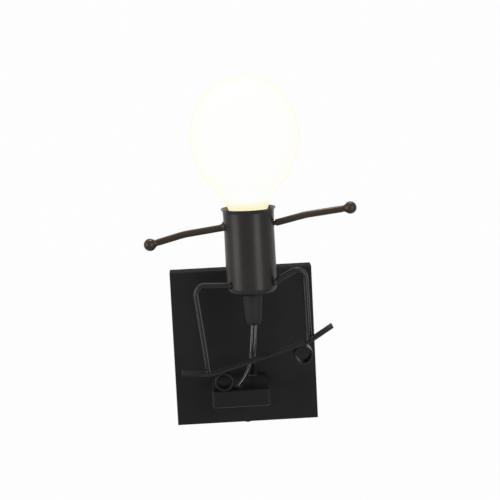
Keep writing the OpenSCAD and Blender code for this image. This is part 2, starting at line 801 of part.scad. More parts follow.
// Half outline of the cup's wall, moved in from its outside by an inset
function cup_outline(inset) =
    concat(arc([cup_bottom_d / 2 - cup_edge_r, cup_z + cup_edge_r], cup_edge_r - inset, -90, 0, 8),
        arc([cup_top_d / 2 + flare_r, flare_z], flare_r + inset, 180, 180 - flare_angle, 8));

// Drawn cup with a rounded bottom edge, a flared lip and holes for the arms
module cup()
    color(black_coat)
        difference() {
            on_cup_axis()
                rotate_extrude()
                    polygon(concat([[nipple_d / 2 + thread_clear, cup_z]], cup_outline(0),
                        backwards(cup_outline(cup_wall)), [[nipple_d / 2 + thread_clear, cup_floor]]));
            on_cup_axis()
                for (s = [[-1, left_shoulder_z, -left_upper_slope], [1, right_shoulder_z, right_upper_slope]])
                    rod([0, s[1]], [s[0] * cup_lip_d * cos(s[2]), s[1] + cup_lip_d * sin(s[2])], spigot_d + 2 * thread_clear);
        }

// An arm: spigot in the cup's wall, bent rod, and a bore for the hand's stud
module arm(side, shoulder_z, upper, upper_slope, fore, fore_slope, neck) {
    out = [side * cos(upper_slope), sin(upper_slope)];
    fore_out = [side * cos(fore_slope), sin(fore_slope)];
    shoulder = [0, shoulder_z];
    elbow = shoulder + out * upper;
    hand = elbow + fore_out * fore;
    wall_at = cup_r(shoulder_z) / cos(upper_slope) + neck;
    wrist = hand - fore_out * (hand_d / 2 + hand_neck);
    on_cup_axis()
        difference() {
            union() {
                rod(shoulder + out * (holder_d / 2 + 0.6), shoulder + out * (wall_at + 1), spigot_d);
                bent_rod(shoulder + out * wall_at, elbow, wrist, arm_d, elbow_r);
            }
            rod(wrist - fore_out * stud_len, wrist + fore_out, stud_d + 2 * thread_clear);
        }
}

// A ball hand with its neck and the stud that goes into the arm
module hand(side, shoulder_z, upper, upper_slope, fore, fore_slope) {
    out = [side * cos(upper_slope), sin(upper_slope)];
    fore_out = [side * cos(fore_slope), sin(fore_slope)];
    middle = [0, shoulder_z] + out * upper + fore_out * fore;
    wrist = middle - fore_out * (hand_d / 2 + hand_neck);
    on_cup_axis() {
        translate([middle[0], 0, middle[1]])
            sphere(d = hand_d);
        rod(wrist, middle, hand_neck_d);
        rod(wrist - fore_out * (stud_len - 0.5), middle, stud_d);
    }
}

module left_arm()
    color(black_coat)
        arm(-1, left_shoulder_z, left_upper_arm, -left_upper_slope, left_forearm, -left_fore_slope, left_neck);

module right_arm()
    color(black_coat)
        arm(1, right_shoulder_z, right_upper_arm, right_upper_slope, right_forearm, right_fore_slope, right_neck);

module left_hand()
    color(black_coat)
        hand(-1, left_shoulder_z, left_upper_arm, -left_upper_slope, left_forearm, -left_fore_slope);

module right_hand()
    color(black_coat)
        hand(1, right_shoulder_z, right_upper_arm, right_upper_slope, right_forearm, right_fore_slope);

// Height and outer radius where the grip screw sits
grip_screw_z = cup_z - grip_len / 2;
grip_screw_reach = grip_top_d / 2 - 0.6;

// Tapered grip with a rounded mouth, screwed on the nipple under the cup
module cord_grip() {
    mouth_z = cup_z - grip_len;
    shoulder_z = mouth_z + grip_round;
    color(black_plastic)
        on_cup_axis()
            difference() {
                rotate_extrude()
                    polygon(concat([[lead_bore / 2, mouth_z]],
                        bezier([grip_mouth_d / 2, mouth_z], [grip_mouth_d / 2 + 1.4, mouth_z + 0.6],
                            [grip_shoulder_d / 2 - 0.4, shoulder_z - grip_round / 2],
                            [grip_shoulder_d / 2, shoulder_z], 8),
                        [[grip_top_d / 2, cup_z - 1], [grip_top_d / 2, cup_z],
                            [nipple_d / 2 + thread_clear, cup_z],
                            [nipple_d / 2 + thread_clear, nipple_bottom],
                            [lead_bore / 2, nipple_bottom]]));
                translate([0, 0, grip_screw_z])
                    rotate([-90, 0, 0])
                        cylinder(h = grip_top_d, r = grip_screw_d / 2 + thread_clear);
            }
}

// Slotted screw at the back of the grip, pressed on the leads
module grip_screw() {
    inner = lead_d / 2 + 0.3;
    color(black_plastic)
        on_cup_axis()
            translate([0, inner, grip_screw_z])
                rotate([-90, 0, 0])
                    difference() {
                        cylinder(h = grip_screw_reach - inner, d = grip_screw_d);
                        translate([-grip_screw_d, -0.4, grip_screw_reach - inner - 0.9])
                            cube([2 * grip_screw_d, 0.8, 2]);
                    }
}

// Hollow threaded tube that joins the grip, the cup and the lampholder
module threaded_nipple()
    color(zinc)
        on_cup_axis()
            translate([0, 0, nipple_bottom])
                difference() {
                    cylinder(h = nipple_top - nipple_bottom, d = nipple_d);
                    translate([0, 0, -1])
                        cylinder(h = nipple_top - nipple_bottom + 2, d = lead_bore);
                }

// Hexagon nut on the cup's floor
module lock_nut()
    color(zinc)
        on_cup_axis()
            translate([0, 0, cup_floor])
                difference() {
                    cylinder(h = nut_h, d = nut_af / cos(30), $fn = 6);
                    translate([0, 0, -1])
                        cylinder(h = nut_h + 2, r = nipple_d / 2 + thread_clear);
                }

// Moulded base that screws on the nipple and carries the insert on a ledge
module lampholder_base() {
    foot_r = nut_af / 2 + 2;
    color(phenolic)
        on_cup_axis()
            rotate_extrude()
                polygon([[nipple_d / 2 + thread_clear, holder_z], [foot_r, holder_z],
                    [holder_d / 2, holder_z + holder_floor + 2], [holder_d / 2, base_top],
                    [insert_d / 2 + holder_clear, base_top], [insert_d / 2 + holder_clear, insert_bottom],
                    [holder_cavity_d / 2, insert_bottom],
                    [holder_cavity_d / 2, holder_z + holder_floor + 3],
                    [holder_cavity_d / 2 - 3, holder_z + holder_floor],
                    [nipple_d / 2 + thread_clear, holder_z + holder_floor]]);
}

// Ceramic disc that carries the contacts
module lampholder_insert()
    color(ceramic)
        on_cup_axis()
            translate([0, 0, insert_bottom])
                cylinder(h = insert_h, d = insert_d);

// Sleeve that screws down on the base and guards the thread shell
module lampholder_sleeve() {
    guard_r = shell_bore / 2 + shell_t + 0.3;
    color(phenolic)
        on_cup_axis()
            rotate_extrude()
                polygon([[insert_d / 2 + holder_clear, base_top], [holder_d / 2, base_top],
                    [holder_d / 2, sleeve_top - 1], [holder_d / 2 - 1, sleeve_top], [guard_r, sleeve_top],
                    [guard_r, insert_top + holder_clear],
                    [insert_d / 2 + holder_clear, insert_top + holder_clear]]);
}

// Two brass blocks under the insert, where the leads end
module holder_terminals()
    color(brass)
        on_cup_axis()
            for (side = [-1, 1])
                translate([side * holder_terminal_x - 3, -3, insert_bottom - holder_terminal_h])
                    difference() {
                        cube([6, 6, holder_terminal_h]);
                        translate([3, -1, holder_terminal_h / 2])
                            rotate([-90, 0, 0])
                                cylinder(h = 4, r = terminal_screw_d / 2 + thread_clear);
                    }

// A screw in the front of each brass block
module holder_screws()
    color(zinc)
        on_cup_axis()
            for (side = [-1, 1])
                translate([side * holder_terminal_x, -3, insert_bottom - holder_terminal_h / 2])
                    rotate([90, 0, 0])
                        pan_screw(terminal_screw_d, holder_terminal_h - 0.2, 1.4, 2.6);

// Pressed brass shell that takes the bulb's cap, with an inward foot
module thread_shell()
    color(brass)
        on_cup_axis()
            rotate_extrude()
                polygon([[shell_bore / 2 - 4, insert_top], [shell_bore / 2 + shell_t, insert_top],
                    [shell_bore / 2 + shell_t, insert_top + shell_len],
                    [shell_bore / 2, insert_top + shell_len], [shell_bore / 2, insert_top + shell_t],
                    [shell_bore / 2 - 4, insert_top + shell_t]]);

// Brass leaf that presses on the bulb's tip
module centre_contact() {
    lift = contact_rise - contact_t;
    color(brass)
        on_cup_axis()
            translate([0, contact_w / 2, insert_top])
                rotate([90, 0, 0])
                    linear_extrude(contact_w)
                        polygon([[-8, 0], [-3.5, 0], [-0.5, lift], [4, lift], [5, lift - 1], [5.5, lift - 0.8],
                            [4.3, lift + contact_t], [-0.8, lift + contact_t], [-3.8, contact_t], [-8, contact_t]]);
}

// Half outline of the globe: an ellipse that runs into a waisted neck
neck_join_angle = -57;
neck_bottom_r = neck_d / 2;
function globe_outline(inset) =
    let (
        a = globe_d / 2 - inset,
        b = globe_half_h - inset,
        join = [a * cos(neck_join_angle), globe_z + b * sin(neck_join_angle)],
        inward = unit([a * sin(neck_join_angle), -b * cos(neck_join_angle)]),
        foot = [neck_bottom_r - inset, cap_rim_z])
    concat([for (angle = [90 : -6 : neck_join_angle + 1])
            [a * cos(angle), globe_z + b * sin(angle)]],
        bezier(join, join + inward * 8, foot + [2.6, 9], foot, 10));

// Hollow opal globe
module bulb_globe()
    color("#fffdf4")
        on_cup_axis()
            rotate_extrude()
                polygon(concat(globe_outline(0), backwards(globe_outline(globe_wall))));

// Plastic cup inside the cap and the neck, with the driver potted in it
module driver_housing() {
    inside_r = cap_d / 2 - cap_t - 0.1;
    housing_z = tip_z + tip_h + insulator_h + 2;
    led_z = cap_rim_z + led_rise;
    color("white")
        on_cup_axis()
            translate([0, 0, housing_z])
                cylinder(h = led_z - housing_z, r = inside_r);
}

// Aluminium board with a ring of light-emitting diodes
module led_board() {
    diode_count = 8;
    diode_ring_r = led_board_d / 2 - 4;
    color("#f2f2ea")
        on_cup_axis()
            translate([0, 0, cap_rim_z + led_rise]) {
                cylinder(h = led_board_t, d = led_board_d);
                for (i = [0 : diode_count - 1])
                    rotate(360 * i / diode_count)
                        translate([diode_ring_r - 1.4, -1.4, led_board_t - 0.2])
                            cube([2.8, 2.8, 1]);
            }
}

// Pressed cap, its thread left plain
module bulb_cap() {
    thread_low = tip_z + tip_h + insulator_h + 1.5;
    skirt_z = cap_rim_z - 5;
    low_r = insulator_d / 2 + 0.1;
    color("#d8d8d2")
        on_cup_axis()
            rotate_extrude()
                polygon([[low_r, thread_low - 2.5], [low_r + cap_t, thread_low - 2.5],
                    [cap_d / 2, thread_low], [cap_d / 2, skirt_z], [cap_rim_d / 2, skirt_z + 2],
                    [cap_rim_d / 2, cap_rim_z], [cap_rim_d / 2 - cap_t, cap_rim_z],
                    [cap_rim_d / 2 - cap_t, skirt_z + 2.2], [cap_d / 2 - cap_t, skirt_z + 0.2],
                    [cap_d / 2 - cap_t, thread_low + 0.2], [low_r, thread_low - 1.2]]);
}

// Black glass cone between the tip and the cap
tip_clear = 0.05;
module bulb_insulator()
    color("#151515")
        on_cup_axis()
            rotate_extrude()
                polygon([[0, tip_z + tip_h + tip_clear], [tip_d / 2 + 0.8, tip_z + tip_h + tip_clear],
                    [insulator_d / 2, tip_z + tip_h + insulator_h - 1.4],
                    [insulator_d / 2, tip_z + tip_h + insulator_h], [0, tip_z + tip_h + insulator_h]]);

// Soldered tip contact
module bulb_tip()
    color(zinc)
        on_cup_axis()
            rotate_extrude()
                polygon([[0, tip_z], [tip_d / 2 - 1.4, tip_z], [tip_d / 2, tip_z + 1], [tip_d / 2, tip_z + tip_h],
                    [0, tip_z + tip_h]]);

canopy();
wall_bracket();
canopy_screws();
earth_screw();
earth_tag();
earth_lead();
terminal_block();
terminal_barrels();
terminal_screws();
block_screw();
support_arm();
lead_grommets();
live_lead();
neutral_lead();
skateboard();
left_wheel();
right_wheel();
left_leg();
right_leg();
cup();
left_arm();
right_arm();
left_hand();
right_hand();
cord_grip();
grip_screw();
threaded_nipple();
lock_nut();
lampholder_base();
lampholder_insert();
lampholder_sleeve();
holder_terminals();
holder_screws();
thread_shell();
centre_contact();
bulb_globe();
driver_housing();
led_board();
bulb_cap();
bulb_insulator();
bulb_tip();
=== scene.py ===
"""Dresses the wall light: a black rod figure that rides a skateboard, with a globe bulb for its head."""

import math

import bmesh
import bpy
from mathutils import Matrix, Vector


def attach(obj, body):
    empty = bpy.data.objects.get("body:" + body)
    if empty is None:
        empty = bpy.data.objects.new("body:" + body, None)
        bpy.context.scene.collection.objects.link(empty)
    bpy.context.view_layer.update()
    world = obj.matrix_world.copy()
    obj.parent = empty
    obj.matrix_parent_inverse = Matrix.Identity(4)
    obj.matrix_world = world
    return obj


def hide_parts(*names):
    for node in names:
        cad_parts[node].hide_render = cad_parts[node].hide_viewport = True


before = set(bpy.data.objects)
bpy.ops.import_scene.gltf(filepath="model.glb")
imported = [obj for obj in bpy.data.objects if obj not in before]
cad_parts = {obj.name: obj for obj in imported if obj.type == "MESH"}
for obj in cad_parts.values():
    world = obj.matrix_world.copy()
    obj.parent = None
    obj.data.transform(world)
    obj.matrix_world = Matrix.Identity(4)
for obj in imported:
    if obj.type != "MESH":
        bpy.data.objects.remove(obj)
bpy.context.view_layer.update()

# Camera. A long lens looks down a little from just left of the middle, and it is
# turned a little, so that the light's right side sits higher in the picture.
aim_at = Vector((0.00836, -0.067, 0.09509))
camera_distance = 1.4
camera_above = math.radians(8.3)
camera_left = math.radians(1.5)
camera_turn = math.radians(2.9)
field_width = 0.4381
sensor_width = 36.0
view_depth = 50.0

backward = Vector((
    -math.cos(camera_above) * math.sin(camera_left),
    -math.cos(camera_above) * math.cos(camera_left),
    math.sin(camera_above),
))
level_right = Vector((0, 0, 1)).cross(backward).normalized()
level_up = backward.cross(level_right)
right = level_right * math.cos(camera_turn) - level_up * math.sin(camera_turn)
up = level_right * math.sin(camera_turn) + level_up * math.cos(camera_turn)
lens = bpy.data.cameras.new("camera")
lens.sensor_width = sensor_width
lens.lens = sensor_width * camera_distance / field_width
lens.clip_end = view_depth


def new_object(name, data):
    """A new object in the scene."""
    made = bpy.data.objects.new(name, data)
    bpy.context.scene.collection.objects.link(made)
    return made


camera = new_object("camera", lens)
camera_facing = Matrix((right, up, backward)).transposed().to_4x4()
camera.matrix_world = Matrix.Translation(aim_at + backward * camera_distance) @ camera_facing
bpy.context.scene.camera = camera
bpy.context.scene.view_settings.view_transform = "Standard"


# Studio. A white sweep surrounds the light, two tall soft boxes stand to its left and
# right and two more hang above. The pale floor lies well below and keeps the shadow.
class Shade:
    """A value in a node tree, so that shading is written as sums."""

    def __init__(self, tree, socket=None):
        self.tree = tree
        self.socket = socket

    def node(self, kind, settings=None, sockets=None, output=0):
        """Adds any node: its settings come first, then the values or links of its sockets."""
        made = self.tree.nodes.new("ShaderNode" + kind)
        for name, value in (settings or {}).items():
            setattr(made, name, value)
        return self.feed(made, sockets or {}, output)

    def feed(self, made, sockets, output=0):
        """Sets or links the sockets of a node that is there already."""
        for name, value in sockets.items():
            if isinstance(value, Shade):
                self.tree.links.new(value.socket, made.inputs[name])
            else:
                made.inputs[name].default_value = value
        return Shade(self.tree, made.outputs[output]) if made.outputs else None

    def maths(self, operation, first, second):
        return self.node("Math", {"operation": operation}, {0: first, 1: second})

    def __add__(self, other):
        return self.maths("ADD", self, other)

    def __mul__(self, other):
        return self.maths("MULTIPLY", self, other)

    __radd__ = __add__
    __rmul__ = __mul__

    def blend(self, low, high):
        """A colour between two others, by this value."""
        return self.node("Mix", {"data_type": "RGBA"}, {0: self, 6: low, 7: high}, 2)


def seen_directly(shade):
    """1 for rays that show a surface itself, in a mirror or through glass, and 0 for its light."""
    tree = shade.tree
    path = tree.nodes.new("ShaderNodeLightPath")
    rays = ("Is Camera Ray", "Is Glossy Ray", "Is Transmission Ray")
    camera_ray, glossy_ray, through_ray = (Shade(tree, path.outputs[name]) for name in rays)
    return camera_ray.maths("MAXIMUM", camera_ray.maths("MAXIMUM", camera_ray, glossy_ray), through_ray)


sweep_white = (0.985, 0.985, 0.985, 1)
fill_light = 0.44
world = bpy.data.worlds.new("studio")
bpy.context.scene.world = world
world.use_nodes = True
world_shade = Shade(world.node_tree)
seen = seen_directly(world_shade)
world_shade.feed(world.node_tree.nodes["Background"], {
    "Color": sweep_white,
    "Strength": seen * (1 - fill_light) + fill_light,
})

floor_z = -0.8
floor_size = 6.0
floor_white, floor_grey = (1, 1, 1, 1), (0.8, 0.8, 0.8, 1)
floor_shown = 0.97
floor_mesh = bpy.data.meshes.new("floor")
floor_corners = [(x * floor_size, y * floor_size, floor_z) for x, y in ((-1, -1), (1, -1), (1, 1), (-1, 1))]
floor_mesh.from_pydata(floor_corners, [], [(0, 1, 2, 3)])
floor = new_object("floor", floor_mesh)
floor_paint = bpy.data.materials.new("pale_floor")
floor_paint.use_nodes = True
floor_tree = floor_paint.node_tree
floor_shade = Shade(floor_tree)
floor_glow = floor_shade.node("Emission", {}, {"Color": floor_white, "Strength": 1.0})
floor_matt = floor_shade.node("BsdfDiffuse", {}, {"Color": floor_grey})
floor_mix = floor_shade.node("MixShader", {}, {
    0: seen_directly(floor_shade) * floor_shown, 1: floor_matt, 2: floor_glow,
})
floor_shade.feed(floor_tree.nodes["Material Output"], {"Surface": floor_mix})
floor_mesh.materials.append(floor_paint)


def soft_box(name, place, size, power):
    """A rectangular lamp that faces the light."""
    lamp = bpy.data.lights.new(name, "AREA")
    lamp.shape = "RECTANGLE"
    lamp.size, lamp.size_y = size
    lamp.energy = power
    facing = (aim_at - Vector(place)).to_track_quat("-Z", "Y").to_matrix().to_4x4()
    new_object(name, lamp).matrix_world = Matrix.Translation(place) @ facing


soft_box("left_box", (-1.24, -0.58, 0.35), (0.74, 1.3), 15.0)
soft_box("right_box", (0.8, -1.23, 0.27), (0.6, 1.3), 13.5)
soft_box("top_left_box", (-0.63, 0.2, 1.4), (0.29, 0.41), 3.5)
soft_box("top_right_box", (0.16, 0.25, 1.5), (0.28, 0.38), 13.5)


# Wall bracket. A zinc-plated steel strap, screwed to the wall through two slots. Its
# ends are bent forward on a press brake, and the canopy's screws go into these tabs.
mm_per_m = 1000
merge_within = 0.0005
least_r = 0.02
most_of_half = 0.49


def new_finish(name):
    """A new material, its main shader and the piece's own coordinates."""
    material = bpy.data.materials.new(name)
    material.use_nodes = True
    place = Shade(material.node_tree).node("TexCoord", output="Object")
    return material, material.node_tree.nodes["Principled BSDF"], place


def eased(corners, steps=6, closed=True):
    """A flat outline with rounded corners. Each corner is x, y and its radius, 0 for a sharp one."""
    made = []
    count = len(corners)
    for i, (x, y, radius) in enumerate(corners):
        here = Vector((x, y))
        if radius <= 0 or (not closed and i in (0, count - 1)):
            made.append(here)
            continue
        before = Vector(corners[i - 1][:2]) - here
        after = Vector(corners[(i + 1) % count][:2]) - here
        half = before.angle(after) / 2
        reach = min(radius / math.tan(half), most_of_half * min(before.length, after.length))
        radius = reach * math.tan(half)
        before.normalize()
        after.normalize()
        centre = here + (before + after).normalized() * radius / math.sin(half)
        start = here + before * reach - centre
        end = here + after * reach - centre
        from_angle = math.atan2(start.y, start.x)
        sweep = (math.atan2(end.y, end.x) - from_angle + 3 * math.pi) % (2 * math.pi) - math.pi
        for k in range(steps + 1):
            angle = from_angle + sweep * k / steps
            made.append(centre + radius * Vector((math.cos(angle), math.sin(angle))))
    return made


def box_loop(width, height, radius, steps=6):
    """A rounded rectangle round 0, 0, with the same number of points at any size."""
    w, h = width / 2, height / 2
    return eased([(w, h, radius), (-w, h, radius), (-w, -h, radius), (w, -h, radius)], steps)


def slot_loop(width, height, steps):
    """A slot with round ends, or a round hole. A hair of each straight side stays."""
    hair = 0.01
    return box_loop(width, height, width / 2 - hair, steps)


def lofted(bm, loops):
    """Joins loops of equal count by walls and closes both ends."""
    rings = [[bm.verts.new(point) for point in loop] for loop in loops]
    for low, high in zip(rings, rings[1:]):
        for i in range(len(low)):
            bm.faces.new((low[i - 1], low[i], high[i], high[i - 1]))
    bm.faces.new(rings[0])
    bm.faces.new(rings[-1])


def settle(piece):
    """Turns a piece's modifiers into its own plain mesh."""
    bpy.context.view_layer.update()
    ready = piece.evaluated_get(bpy.context.evaluated_depsgraph_get())
    mesh = bpy.data.meshes.new_from_object(ready)
    piece.modifiers.clear()
    piece.data = mesh


def mesh_object(name, bm):
    """A new object from a mesh that is being built."""
    mesh = bpy.data.meshes.new(name)
    bm.to_mesh(mesh)
    bm.free()
    return new_object(name, mesh)


def add_piece(name, bm, finish, nodes, body="light", sharp=40, holes=None):
    """Makes a piece from a mesh in millimetres, on its body and in place of its CAD nodes."""
    for part in (bm, holes) if holes else (bm,):
        bmesh.ops.remove_doubles(part, verts=part.verts, dist=merge_within)
        bmesh.ops.recalc_face_normals(part, faces=part.faces)
        bmesh.ops.scale(part, vec=[1 / mm_per_m] * 3, verts=part.verts)
    piece = mesh_object(name, bm)
    piece.data.materials.append(finish)
    if holes:
        cutter = mesh_object(name + "_holes", holes)
        cut = piece.modifiers.new("holes", "BOOLEAN")
        cut.object = cutter
        settle(piece)
        bpy.data.objects.remove(cutter)
    piece.data.polygons.foreach_set("use_smooth", [True] * len(piece.data.polygons))
    piece.data.set_sharp_from_angle(angle=math.radians(sharp))
    even = piece.modifiers.new("even_shading", "WEIGHTED_NORMAL")
    even.keep_sharp = True
    settle(piece)
    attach(piece, body)
    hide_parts(*nodes)
    return piece


def plated(name, tone, roughness):
    """Bright plating on steel or brass: cloudy patches, and fine lines from rolling and handling."""
    material, shader, place = new_finish(name)
    cloud = place.node("TexNoise", {}, {"Vector": place, "Scale": 70.0, "Detail": 3.0})
    rolled = place.node("Mapping", {}, {"Vector": place, "Scale": (1.0, 1.0, 0.06)})
    lines = place.node("TexNoise", {}, {"Vector": rolled, "Scale": 2200.0, "Detail": 2.0})
    place.feed(shader, {
        "Base Color": cloud.blend((tone[0] * 0.66, tone[1] * 0.69, tone[2] * 0.73, 1), (*tone, 1)),
        "Roughness": cloud * 0.2 + lines * 0.16 + (roughness - 0.18),
        "Metallic": 1.0,
        "Normal": place.node("Bump", {}, {"Strength": 0.2, "Distance": 0.00003, "Height": lines}),
    })
    return material


def bent_strip(bm, path, width, thickness, edge, to_space):
    """A flat strip bent along a path of flat points, with its cut edges broken."""
    headings = [(b - a).normalized() for a, b in zip(path, path[1:])]
    headings = [headings[0], *[(a + b).normalized() for a, b in zip(headings, headings[1:])], headings[-1]]
    turns = [math.radians(22.5 * k) for k in range(5)]
    ease = [(edge * (1 - math.sin(turn)), edge * (1 - math.cos(turn))) for turn in turns]
    stations = [(path[0] + headings[0] * back, headings[0], inset) for back, inset in reversed(ease)]
    stations += [(at, along, 0.0) for at, along in list(zip(path, headings))[1:-1]]
    stations += [(path[-1] - headings[-1] * back, headings[-1], inset) for back, inset in ease]
    loops = []
    for at, along, inset in stations:
        square = Vector((-along.y, along.x))
        section = box_loop(width - 2 * inset, thickness - 2 * inset, max(edge - inset, least_r), 4)
        loops.append([to_space(at + square * p.y, p.x) for p in section])
    lofted(bm, loops)


zinc = plated("zinc_plate", (0.56, 0.57, 0.59), 0.36)
bracket_w, bracket_t = 20.0, 2.0
bracket_half, bracket_tab = 69.5, 15.0
bracket_fold, bracket_edge = 2.0, 0.3
slot_spacing, slot_w, slot_len = 90.0, 4.5, 10.0
screw_hole_d, block_hole_d = 4.1, 3.1
cut_past = 1.0
canopy_screw_y = -10.0
block_screw_x, block_screw_z = 4.75, 28.0
earth_x, earth_z = 6.0, -34.0
tab_z = bracket_half - bracket_t / 2
bracket_line = eased([
    (-bracket_tab, tab_z, 0), (-bracket_t / 2, tab_z, bracket_fold),
    (-bracket_t / 2, -tab_z, bracket_fold), (-bracket_tab, -tab_z, 0),
], 8, closed=False)
bm = bmesh.new()
bent_strip(bm, bracket_line, bracket_w, bracket_t, bracket_edge, lambda at, across: (across, at.x, at.y))
cuts = bmesh.new()
for x, z, hole in (
    (0.0, -slot_spacing / 2, slot_loop(slot_w, slot_len, 10)),
    (0.0, slot_spacing / 2, slot_loop(slot_w, slot_len, 10)),
    (block_screw_x, block_screw_z, slot_loop(block_hole_d, block_hole_d, 8)),
    (earth_x, earth_z, slot_loop(screw_hole_d, screw_hole_d, 8)),
):
    lofted(cuts, [[(x + q.x, y, z + q.y) for q in hole] for y in (cut_past, -bracket_t - cut_past)])
for low in (-bracket_half - cut_past, bracket_half - bracket_t - cut_past):
    hole = slot_loop(screw_hole_d, screw_hole_d, 8)
    high = low + bracket_t + 2 * cut_past
    lofted(cuts, [[(q.x, canopy_screw_y + q.y, z) for q in hole] for z in (low, high)])
add_piece("wall_strap", bm, zinc, ["wall_bracket"], holes=cuts)


# Terminal block. Three brass barrels in a cream polyamide moulding, with two slotted
# screws for each pole. A single screw holds it on the bracket.
def toned(tone, share):
    """A colour made darker or lighter."""
    return (*[part * share for part in tone], 1)


def moulded(name, tone, roughness, specular, grain):
    """Plastic, rubber, ceramic or glass from a mould: a faint bloom and a fine grain."""
    material, shader, place = new_finish(name)
    texture = place.node("TexNoise", {}, {"Vector": place, "Scale": grain, "Detail": 3.0})
    bloom = place.node("TexNoise", {}, {"Vector": place, "Scale": 90.0, "Detail": 2.0})
    place.feed(shader, {
        "Base Color": bloom.blend(toned(tone, 0.85), toned(tone, 1.15)),
        "Roughness": bloom * 0.1 + texture * 0.08 + (roughness - 0.09),
        "Specular IOR Level": specular,
        "Normal": place.node("Bump", {}, {"Strength": 0.3, "Distance": 0.00004, "Height": texture}),
    })
    return material


def dress(finish, *nodes):
    """Gives CAD nodes whose shape is right their finish."""
    for node in nodes:
        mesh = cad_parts[node].data
        mesh.materials.clear()
        mesh.materials.append(finish)


cream_polyamide = moulded("cream_polyamide", (0.72, 0.68, 0.57), 0.42, 0.5, 900.0)
brass = plated("brass", (0.66, 0.47, 0.19), 0.34)
dress(cream_polyamide, "terminal_block")
dress(brass, "terminal_barrels")
dress(zinc, "terminal_screws", "block_screw")


# Earth connection. A short lead in green and yellow runs from the block to a crimped
# ring tag, which a pan-head screw presses on the bracket.
def geometry_tree(name, inputs, nodes, links):
    """A tree from its inputs, nodes and links. It ends in real geometry with its finish set."""
    tree = bpy.data.node_groups.new(name, "GeometryNodeTree")
    for label, kind in {**inputs, "Finish": "Material"}.items():
        tree.interface.new_socket(label, in_out="INPUT", socket_type="NodeSocket" + kind)
    tree.interface.new_socket("Result", in_out="OUTPUT", socket_type="NodeSocketGeometry")
    made = {}
    for label, (kind, settings, values) in {
        "inputs": ("NodeGroupInput", {}, {}),
        **nodes,
        "real": ("GeometryNodeRealizeInstances", {}, {}),
        "coat": ("GeometryNodeSetMaterial", {}, {}),
        "result": ("NodeGroupOutput", {}, {}),
    }.items():
        made[label] = tree.nodes.new(kind)
        for setting, value in settings.items():
            setattr(made[label], setting, value)
        for socket, value in values.items():
            made[label].inputs[socket].default_value = value
    for source, result, target, socket in (
        *links,
        ("real", "Geometry", "coat", "Geometry"),
        ("inputs", "Finish", "coat", "Material"),
        ("coat", "Geometry", "result", "Result"),
    ):
        tree.links.new(made[source].outputs[result], made[target].inputs[socket])
    return tree


def run_tree(piece, tree, values):
    """Runs a tree on a piece with its named inputs set, and keeps the plain mesh."""
    run = piece.modifiers.new("run", "NODES")
    run.node_group = tree
    for item in tree.interface.items_tree:
        if item.in_out == "INPUT" and item.name in values:
            run[item.identifier] = values[item.name]
    settle(piece)


# A round rod of changing thickness along a line of points
rod_on_a_path = geometry_tree(
    "rod_on_a_path", {"Path": "Geometry", "Sides": "Int"},
    {
        "line": ("GeometryNodeMeshToCurve", {}, {}),
        "thickness": ("GeometryNodeInputNamedAttribute", {"data_type": "FLOAT"}, {"Name": "rod_radius"}),
        "ring": ("GeometryNodeCurvePrimitiveCircle", {}, {"Radius": 1.0}),
        "sweep": ("GeometryNodeCurveToMesh", {}, {"Fill Caps": True}),
    },
    (
        ("inputs", "Path", "line", "Mesh"), ("inputs", "Sides", "ring", "Resolution"),
        ("line", "Curve", "sweep", "Curve"), ("ring", "Curve", "sweep", "Profile Curve"),
        ("thickness", "Attribute", "sweep", "Scale"), ("sweep", "Mesh", "real", "Geometry"),
    ),
)


def rod(bm, points, radii, sides, finish):
    """Adds a rod along points to a mesh, and gives back its own corners, ring by ring."""
    mesh = bpy.data.meshes.new("rod_path")
    mesh.from_pydata(points, [(i, i + 1) for i in range(len(points) - 1)], [])
    mesh.attributes.new("rod_radius", "FLOAT", "POINT").data.foreach_set("value", radii)
    path = new_object("rod_path", mesh)
    run_tree(path, rod_on_a_path, {"Sides": sides, "Finish": finish})
    before = len(bm.verts)
    bm.from_mesh(path.data)
    bpy.data.objects.remove(path)
    bm.verts.ensure_lookup_table()
    return bm.verts[before:]


def smooth_route(points, steps):
    """A curve through all the points of a route."""
    ends = [points[0] * 2 - points[1], *points, points[-1] * 2 - points[-2]]
    made = []
    for a, b, c, d in zip(ends, ends[1:], ends[2:], ends[3:]):
        for k in range(steps):
            t = k / steps
            bow, twist = 2 * a - 5 * b + 4 * c - d, 3 * b - a - 3 * c + d
            made.append(0.5 * (2 * b + (c - a) * t + bow * t * t + twist * t * t * t))
    return [*made, points[-1]]


def cable_sheath(name, tone):
    """Soft extruded plastic: a fair gloss, faint scuffs and a slight ripple."""
    material, shader, place = new_finish(name)
    scuffs = place.node("TexNoise", {}, {"Vector": place, "Scale": 420.0, "Detail": 4.0})
    ripple = place.node("TexNoise", {}, {"Vector": place, "Scale": 1500.0, "Detail": 1.0})
    place.feed(shader, {
        "Base Color": scuffs.blend(toned(tone, 0.7), toned(tone, 1.4)),
        "Roughness": scuffs * 0.05 + 0.12,
        "Specular IOR Level": 0.58,
        "Normal": place.node("Bump", {}, {"Strength": 0.04, "Distance": 0.00003, "Height": ripple}),
    })
    return material


